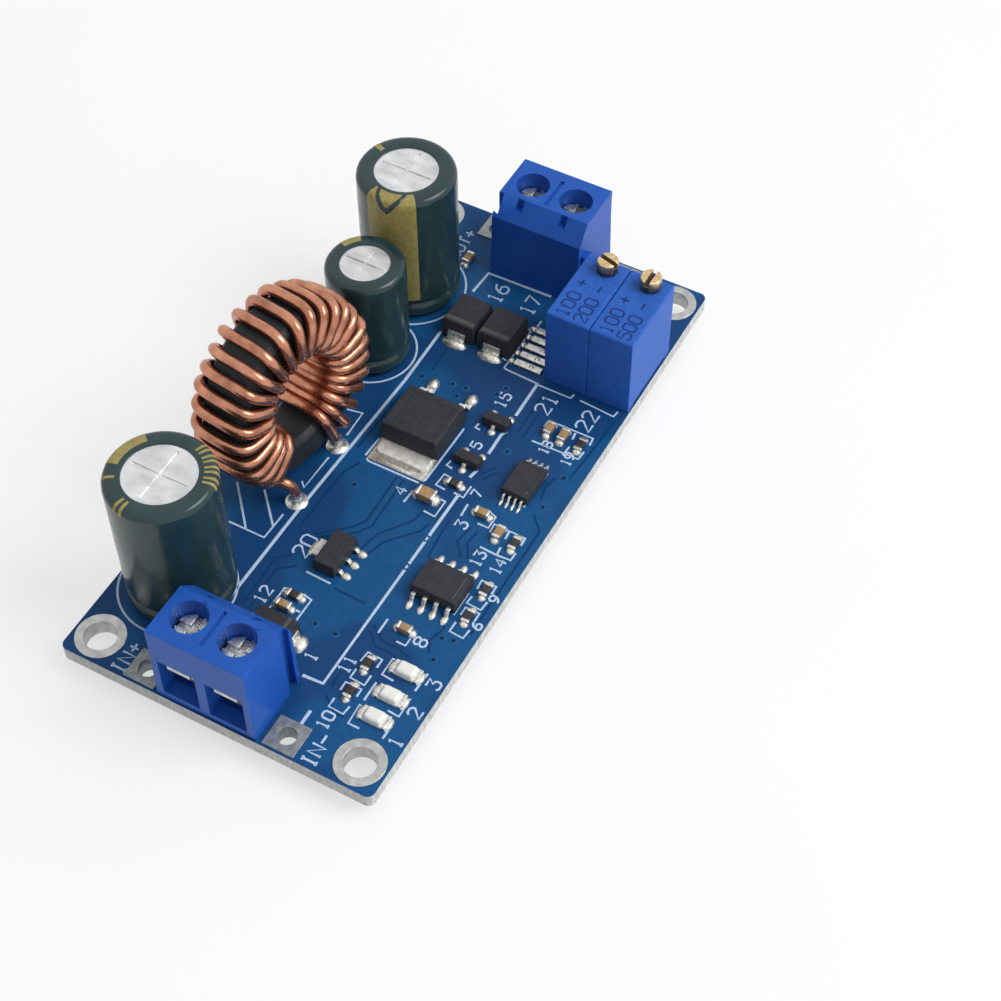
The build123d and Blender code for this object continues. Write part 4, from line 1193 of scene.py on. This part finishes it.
@dataclass
class LeadedParts:
    """Moulded chips with their leads and polarity marks, the power transistor and the regulator's tab."""

    names: tuple[str, ...] = (
        "amplifier", "controller", "small_transistor", "rectifier", "input_diode", "regulator")
    body_edge: float = 0.08
    lead_edge: float = 0.03
    case_edge: float = 0.14
    border: float = 0.75
    corner: float = 0.5
    groove: Pair = (0.14, 0.15)
    power: Spot = (3.95, 0.2)
    pad: tuple[Spot, Spot] = ((-5.65, -3.3), (-2.6, 3.3))
    pad_height: float = 0.05
    pad_edge: float = 0.02
    seam: tuple[Triple, Triple] = ((-5.3, 0.5, 0.04), (0.7, 4.9, 0.16))
    tab: tuple[Spot, Spot] = ((-14.75, 1.2), (-12.75, 1.95))
    tab_height: float = 0.5
    tab_edge: float = 0.12
    mark_height: float = 0.01
    marks: tuple[tuple[str, tuple[Spot, Spot], float], ...] = (
        ("rectifier_body", ((17.45, -2.35), (17.45, 0.95)), 0.5),
        ("rectifier_body", ((17.35, 1.8), (17.35, 5.1)), 0.5),
        ("input_diode_body", ((-25.2, -1.25), (-23.0, -1.25)), 0.45),
        ("amplifier_body", ((-13.6, -13.2), (-10.8, -13.2)), 0.12),
        ("controller_body", ((1.1, -13.1), (1.35, -13.1)), 0.25),
    )

    def power_case(self) -> None:
        """Sinks a groove into the power transistor's top."""
        mould = rounded("power_transistor_body", self.case_edge)
        bm = mould.mesh
        top = max(bm.faces, key=lambda face: (round(face.calc_center_median().z, 2), face.calc_area()))
        bmesh.ops.inset_region(bm, faces=[top], thickness=self.border)
        bmesh.ops.bevel(
            bm, geom=list(top.verts), offset=self.corner, affect="VERTICES", segments=3, profile=0.5,
            material=-1)
        top = max(bm.faces, key=lambda face: (face.normal.z > 0.99, face.calc_area()))
        width, depth = self.groove
        for step in (-depth, depth):
            bmesh.ops.inset_region(bm, faces=[top], thickness=width, depth=step)
        mould.piece("power_transistor_case", EPOXY, replaces=["power_transistor_body"])

    def power_pad(self) -> None:
        """Lays the power transistor's pad under its tab, with a seam of solder."""
        x, y = self.power
        (left, near), (right, far) = self.pad
        (along, across, lift), size = self.seam
        mould = Mould()
        mould.block(
            (x + left, y + near, BOARD_TOP - SUNK), (x + right, y + far, BOARD_TOP + self.pad_height),
            self.pad_edge)
        mould.dome((x + along, y + across, BOARD_TOP + lift), size)
        mould.piece("power_transistor_pad", TIN)

    def regulator_tab(self) -> None:
        """Adds the tab behind the regulator."""
        low, high = self.tab
        mould = Mould()
        mould.block((*low, BOARD_TOP), (*high, BOARD_TOP + self.tab_height), self.tab_edge)
        mould.piece("regulator_tab", TAB)

    def build(self) -> None:
        """Rounds and dresses each body and its leads, and marks the polarity."""
        for name in self.names:
            softened(f"{name}_body", EPOXY, self.body_edge)
            softened(f"{name}_leads", TIN, self.lead_edge)
        self.power_case()
        softened("power_transistor_metal", TAB, self.body_edge)
        self.power_pad()
        self.regulator_tab()
        for index, (node, line, width) in enumerate(self.marks):
            mark = Ribbons(self.mark_height)
            mark.line(line, width)
            mark.piece(f"polarity_mark_{index}", MARK, top_of(node))


@dataclass
class ChipParts:
    """Chip resistors and capacitors, the lamps and the bank of tinned strips."""

    parts: tuple[tuple[str, Finish, float], ...] = (
        ("chip_resistor_bodies", DARK, 0.03), ("chip_resistor_end_caps", TIN, 0.06),
        ("chip_capacitor_bodies", TAN, 0.06), ("chip_capacitor_end_caps", TIN, 0.09),
        ("lamp_bases", LAMP_WHITE, 0.03), ("lamp_terminals", TIN, 0.04), ("tinned_strips", TIN, 0.11))
    lens: Pair = (0.73, 0.98)
    lens_taper: Pair = (0.9, 0.94)
    lens_edge: float = 0.3

    def lenses(self) -> None:
        """Makes each lamp's lens as a rounded bar of resin with a domed top."""
        base, top = top_of("lamp_bases"), top_of("lamp_lenses")
        (long, wide), (length, width) = self.lens, self.lens_taper
        mould = Mould()
        for x, y in LAMPS:
            verts = mould.block((x - long, y - wide, base - SUNK), (x + long, y + wide, top))
            upper = [vert for vert in verts if vert.co.z > base]
            for vert in upper:
                vert.co.x, vert.co.y = x + (vert.co.x - x) * length, y + (vert.co.y - y) * width
            mould.round_edges(
                self.lens_edge, {edge for vert in upper for edge in vert.link_edges}, segments=4)
        mould.piece("lamp_resin_domes", LAMP_RESIN, replaces=["lamp_lenses"])

    def build(self) -> None:
        """Rounds and dresses each of them."""
        for node, finish, width in self.parts:
            softened(node, finish, width)
        self.lenses()


def both(x: float, rows: Sequence[float]) -> tuple[Spot, ...]:
    """Places a row of leads at both ends of a part, as offsets from its middle."""
    return tuple((side, row) for side in (-x, x) for row in rows)


@dataclass
class SolderWork:
    """Solder at the parts' feet: middles of the parts, offsets from each, and each lump's size."""

    groups: tuple[tuple[tuple[Spot, ...], tuple[Spot, ...], Triple], ...] = (
        (((-12.2, -11.25),), both(2.95, (-1.905, -0.635, 0.635, 1.905)), (1.3, 0.74, 0.27)),
        (((2.75, -12.05),), both(2.95, (-0.975, -0.325, 0.325, 0.975)), (1.05, 0.36, 0.16)),
        (((8.34, -5.86), (2.64, -5.71)), ((-1.15, 0.0), (1.15, -0.95), (1.15, 0.95)), (1.0, 0.95, 0.3)),
        (((19.0, -0.7), (18.9, 3.45)), both(2.95, (0.0,)), (1.5, 3.0, 0.6)),
        (((-24.1, 0.15),), ((0.0, -2.75), (0.0, 2.75)), (2.2, 1.7, 0.55)),
        (((-13.8, -0.3),), ((-1.5, -2.0), (0.0, -2.0), (1.5, -2.0)), (0.9, 1.3, 0.32)),
        (((-13.8, -0.3),), ((0.0, 2.45),), (2.0, 0.7, 0.2)),
        (((3.95, 0.2),), ((5.95, -2.285), (5.95, 2.285)), (1.7, 1.35, 0.5)),
        (((-10.39, -14.97), (-13.85, -14.99), (-4.22, -14.75), (-22.96, -9.46), (-26.3, -9.57),
          (9.86, -14.65)), both(0.82, (0.0,)), (0.95, 0.95, 0.34)),
        (((-0.51, -5.93), (-19.63, 0.73)), ((0.0, -0.82), (0.0, 0.82)), (0.95, 0.95, 0.34)),
        (((-3.91, -12.8), (10.16, -10.96), (10.02, -12.62), (27.27, 8.1)), both(0.82, (0.0,)),
         (0.95, 1.05, 0.45)),
        (((-18.0, -10.5), (-2.55, -10.24), (-21.17, 0.95)), ((0.0, -0.82), (0.0, 0.82)), (1.05, 0.95, 0.45)),
        (((-3.23, -4.29),), ((0.0, -1.02), (0.0, 1.02)), (1.5, 1.1, 0.55)),
        (LAMPS, ((0.0, -1.5), (0.0, 1.45)), (1.6, 0.8, 0.32)),
        (((19.2, -4.2),), tuple((1.25 * (step - 2), side) for step in range(5) for side in (-1.2, 1.2)),
         (0.8, 0.9, 0.42)),
    )

    def build(self) -> None:
        """Adds all the lumps as one piece."""
        mould = Mould()
        for middles, offsets, size in self.groups:
            for x, y in middles:
                for along, across in offsets:
                    mould.dome((x + along, y + across, BOARD_TOP), size)
        mould.piece("part_solder", TIN, smooth=60.0)


@dataclass
class Studio:
    """Pale floor, soft light and the camera at the photograph's angle, in metres."""

    camera_at: Triple = (-0.10657, -0.06981, 0.15775)
    camera_turn: Triple = (37.936, 0.126, -61.22)
    lens: float = 72.088
    sensor: float = 36.0
    nearest: float = 0.005
    floor_level: float = -0.0015
    floor_size: float = 3.0
    floor_colours: tuple[Rgb, Rgb] = ((246, 246, 247), (243, 243, 244))
    floor_patch: float = 40.0
    floor_roughness: float = 0.9
    floor_glow: float = 0.62
    lamp_at: Triple = (0.12, -0.36, 0.42)
    lamp_size: float = 0.35
    lamp_power: float = 1.9
    bright_side: Triple = (0.45, -0.55, 0.7)
    sky_low: float = 0.0
    sky_high: float = 0.84

    def camera(self) -> None:
        """Sets up the camera."""
        data = bpy.data.cameras.new("camera")
        data.lens = self.lens
        data.sensor_width = self.sensor
        data.clip_start = self.nearest
        holder = bpy.data.objects.new("camera", data)
        holder.location = self.camera_at
        holder.rotation_euler = [math.radians(angle) for angle in self.camera_turn]
        bpy.context.scene.collection.objects.link(holder)
        bpy.context.scene.camera = holder

    def paper(self) -> bpy.types.Material:
        """Makes the floor's paper, nearly white where it is seen, with the object's shadow on it.

        Returns:
            The paper's material.
        """
        made = bpy.data.materials.new("floor_paper")
        graph = Graph(made)
        shade = graph.spread(graph.noise(self.floor_patch, detail=2.0))
        graph.link(graph.mix(shade, *self.floor_colours), graph.shader.inputs["Base Color"])
        graph.shader.inputs["Roughness"].default_value = self.floor_roughness
        share = graph.node("ShaderNodeMath", {1: self.floor_glow}, operation="MULTIPLY")
        glow = graph.node("ShaderNodeEmission", {"Color": (1, 1, 1, 1), "Strength": 1.0})
        blend = graph.node("ShaderNodeMixShader")
        graph.link(graph.seen(), share.inputs[0])
        graph.link(share.outputs[0], blend.inputs["Fac"])
        graph.link(graph.shader.outputs["BSDF"], blend.inputs[1])
        graph.link(glow.outputs["Emission"], blend.inputs[2])
        graph.link(blend.outputs["Shader"], graph.tree.nodes["Material Output"].inputs["Surface"])
        return made

    def floor(self) -> None:
        """Lays the floor."""
        mesh = bmesh.new()
        bmesh.ops.create_grid(mesh, x_segments=1, y_segments=1, size=self.floor_size)
        bmesh.ops.translate(mesh, vec=(0, 0, self.floor_level), verts=mesh.verts)
        data = bpy.data.meshes.new("floor")
        mesh.to_mesh(data)
        mesh.free()
        data.materials.append(self.paper())
        made = bpy.data.objects.new("floor", data)
        bpy.context.scene.collection.objects.link(made)

    def lamp(self) -> None:
        """Hangs one soft lamp on the side of the trimmers."""
        data = bpy.data.lights.new("key_lamp", "AREA")
        data.shape = "DISK"
        data.size = self.lamp_size
        data.energy = self.lamp_power
        holder = bpy.data.objects.new("key_lamp", data)
        holder.location = self.lamp_at
        holder.rotation_euler = (-Vector(self.lamp_at)).to_track_quat("-Z", "Y").to_euler()
        bpy.context.scene.collection.objects.link(holder)

    def sky(self) -> None:
        """Spreads a pale sky that is brighter on the lamp's side, and white where it is seen."""
        world = bpy.data.worlds.new("sky")
        bpy.context.scene.world = world
        graph = Graph(world)
        light = graph.tree.nodes["Background"].inputs
        light["Color"].default_value = (1, 1, 1, 1)
        side = graph.node(
            "ShaderNodeVectorMath", {1: Vector(self.bright_side).normalized()}, operation="DOT_PRODUCT")
        graph.link(graph.place.outputs["Generated"], side.inputs[0])
        blend = graph.node("ShaderNodeMix", {"B": 1.0})
        graph.link(graph.seen(), blend.inputs["Factor"])
        graph.link(
            graph.spread(side.outputs["Value"], self.sky_low, self.sky_high, -1.0, 1.0), blend.inputs["A"])
        graph.link(blend.outputs["Result"], light["Strength"])

    def build(self) -> None:
        """Sets up the whole studio."""
        self.camera()
        self.floor()
        self.lamp()
        self.sky()
        bpy.context.scene.view_settings.view_transform = "Standard"


def main() -> None:
    """Builds the studio and every sub-assembly."""
    logging.basicConfig(level=logging.INFO, format="%(message)s")
    assemblies = (
        Studio(), CircuitBoard(), ScrewTerminal("input"), ScrewTerminal("output"),
        Trimmer("voltage", centre_y=-14.465, numbers=("100", "500")),
        Trimmer("current", centre_y=-9.585, numbers=("100", "200")),
        Capacitor(
            "input", (-23.6, 10.75), radius=5.1, height=17.1, disc=3.5,
            prints=((Patch.RIM, 50.0, 104.0), *((Patch.RIM, turn, turn + 4.0) for turn in (122, 162, 170)),
                    *((Patch.RIM, turn, turn + 3.5) for turn in (283, 290, 299, 306, 315, 322, 331, 338)))),
        Capacitor(
            "middle", (11.1, 10.65), radius=3.95, height=12.9, disc=2.55, prints=((Patch.RIM, 38.0, 72.0),)),
        Capacitor(
            "output", (21.2, 11.6), radius=5.0, height=16.8, disc=3.3,
            prints=((Patch.SIDE, 160.0, 221.0), (Patch.RIM, 160.0, 221.0), (Patch.RIM, 66.0, 74.0)),
            notch=(166.0, 187.0, 208.0)),
        Coil(), LeadedParts(), ChipParts(), SolderWork())
    for assembly in assemblies:
        LOG.info("building %s", type(assembly).__name__)
        assembly.build()


if __name__ == "__main__":
    main()
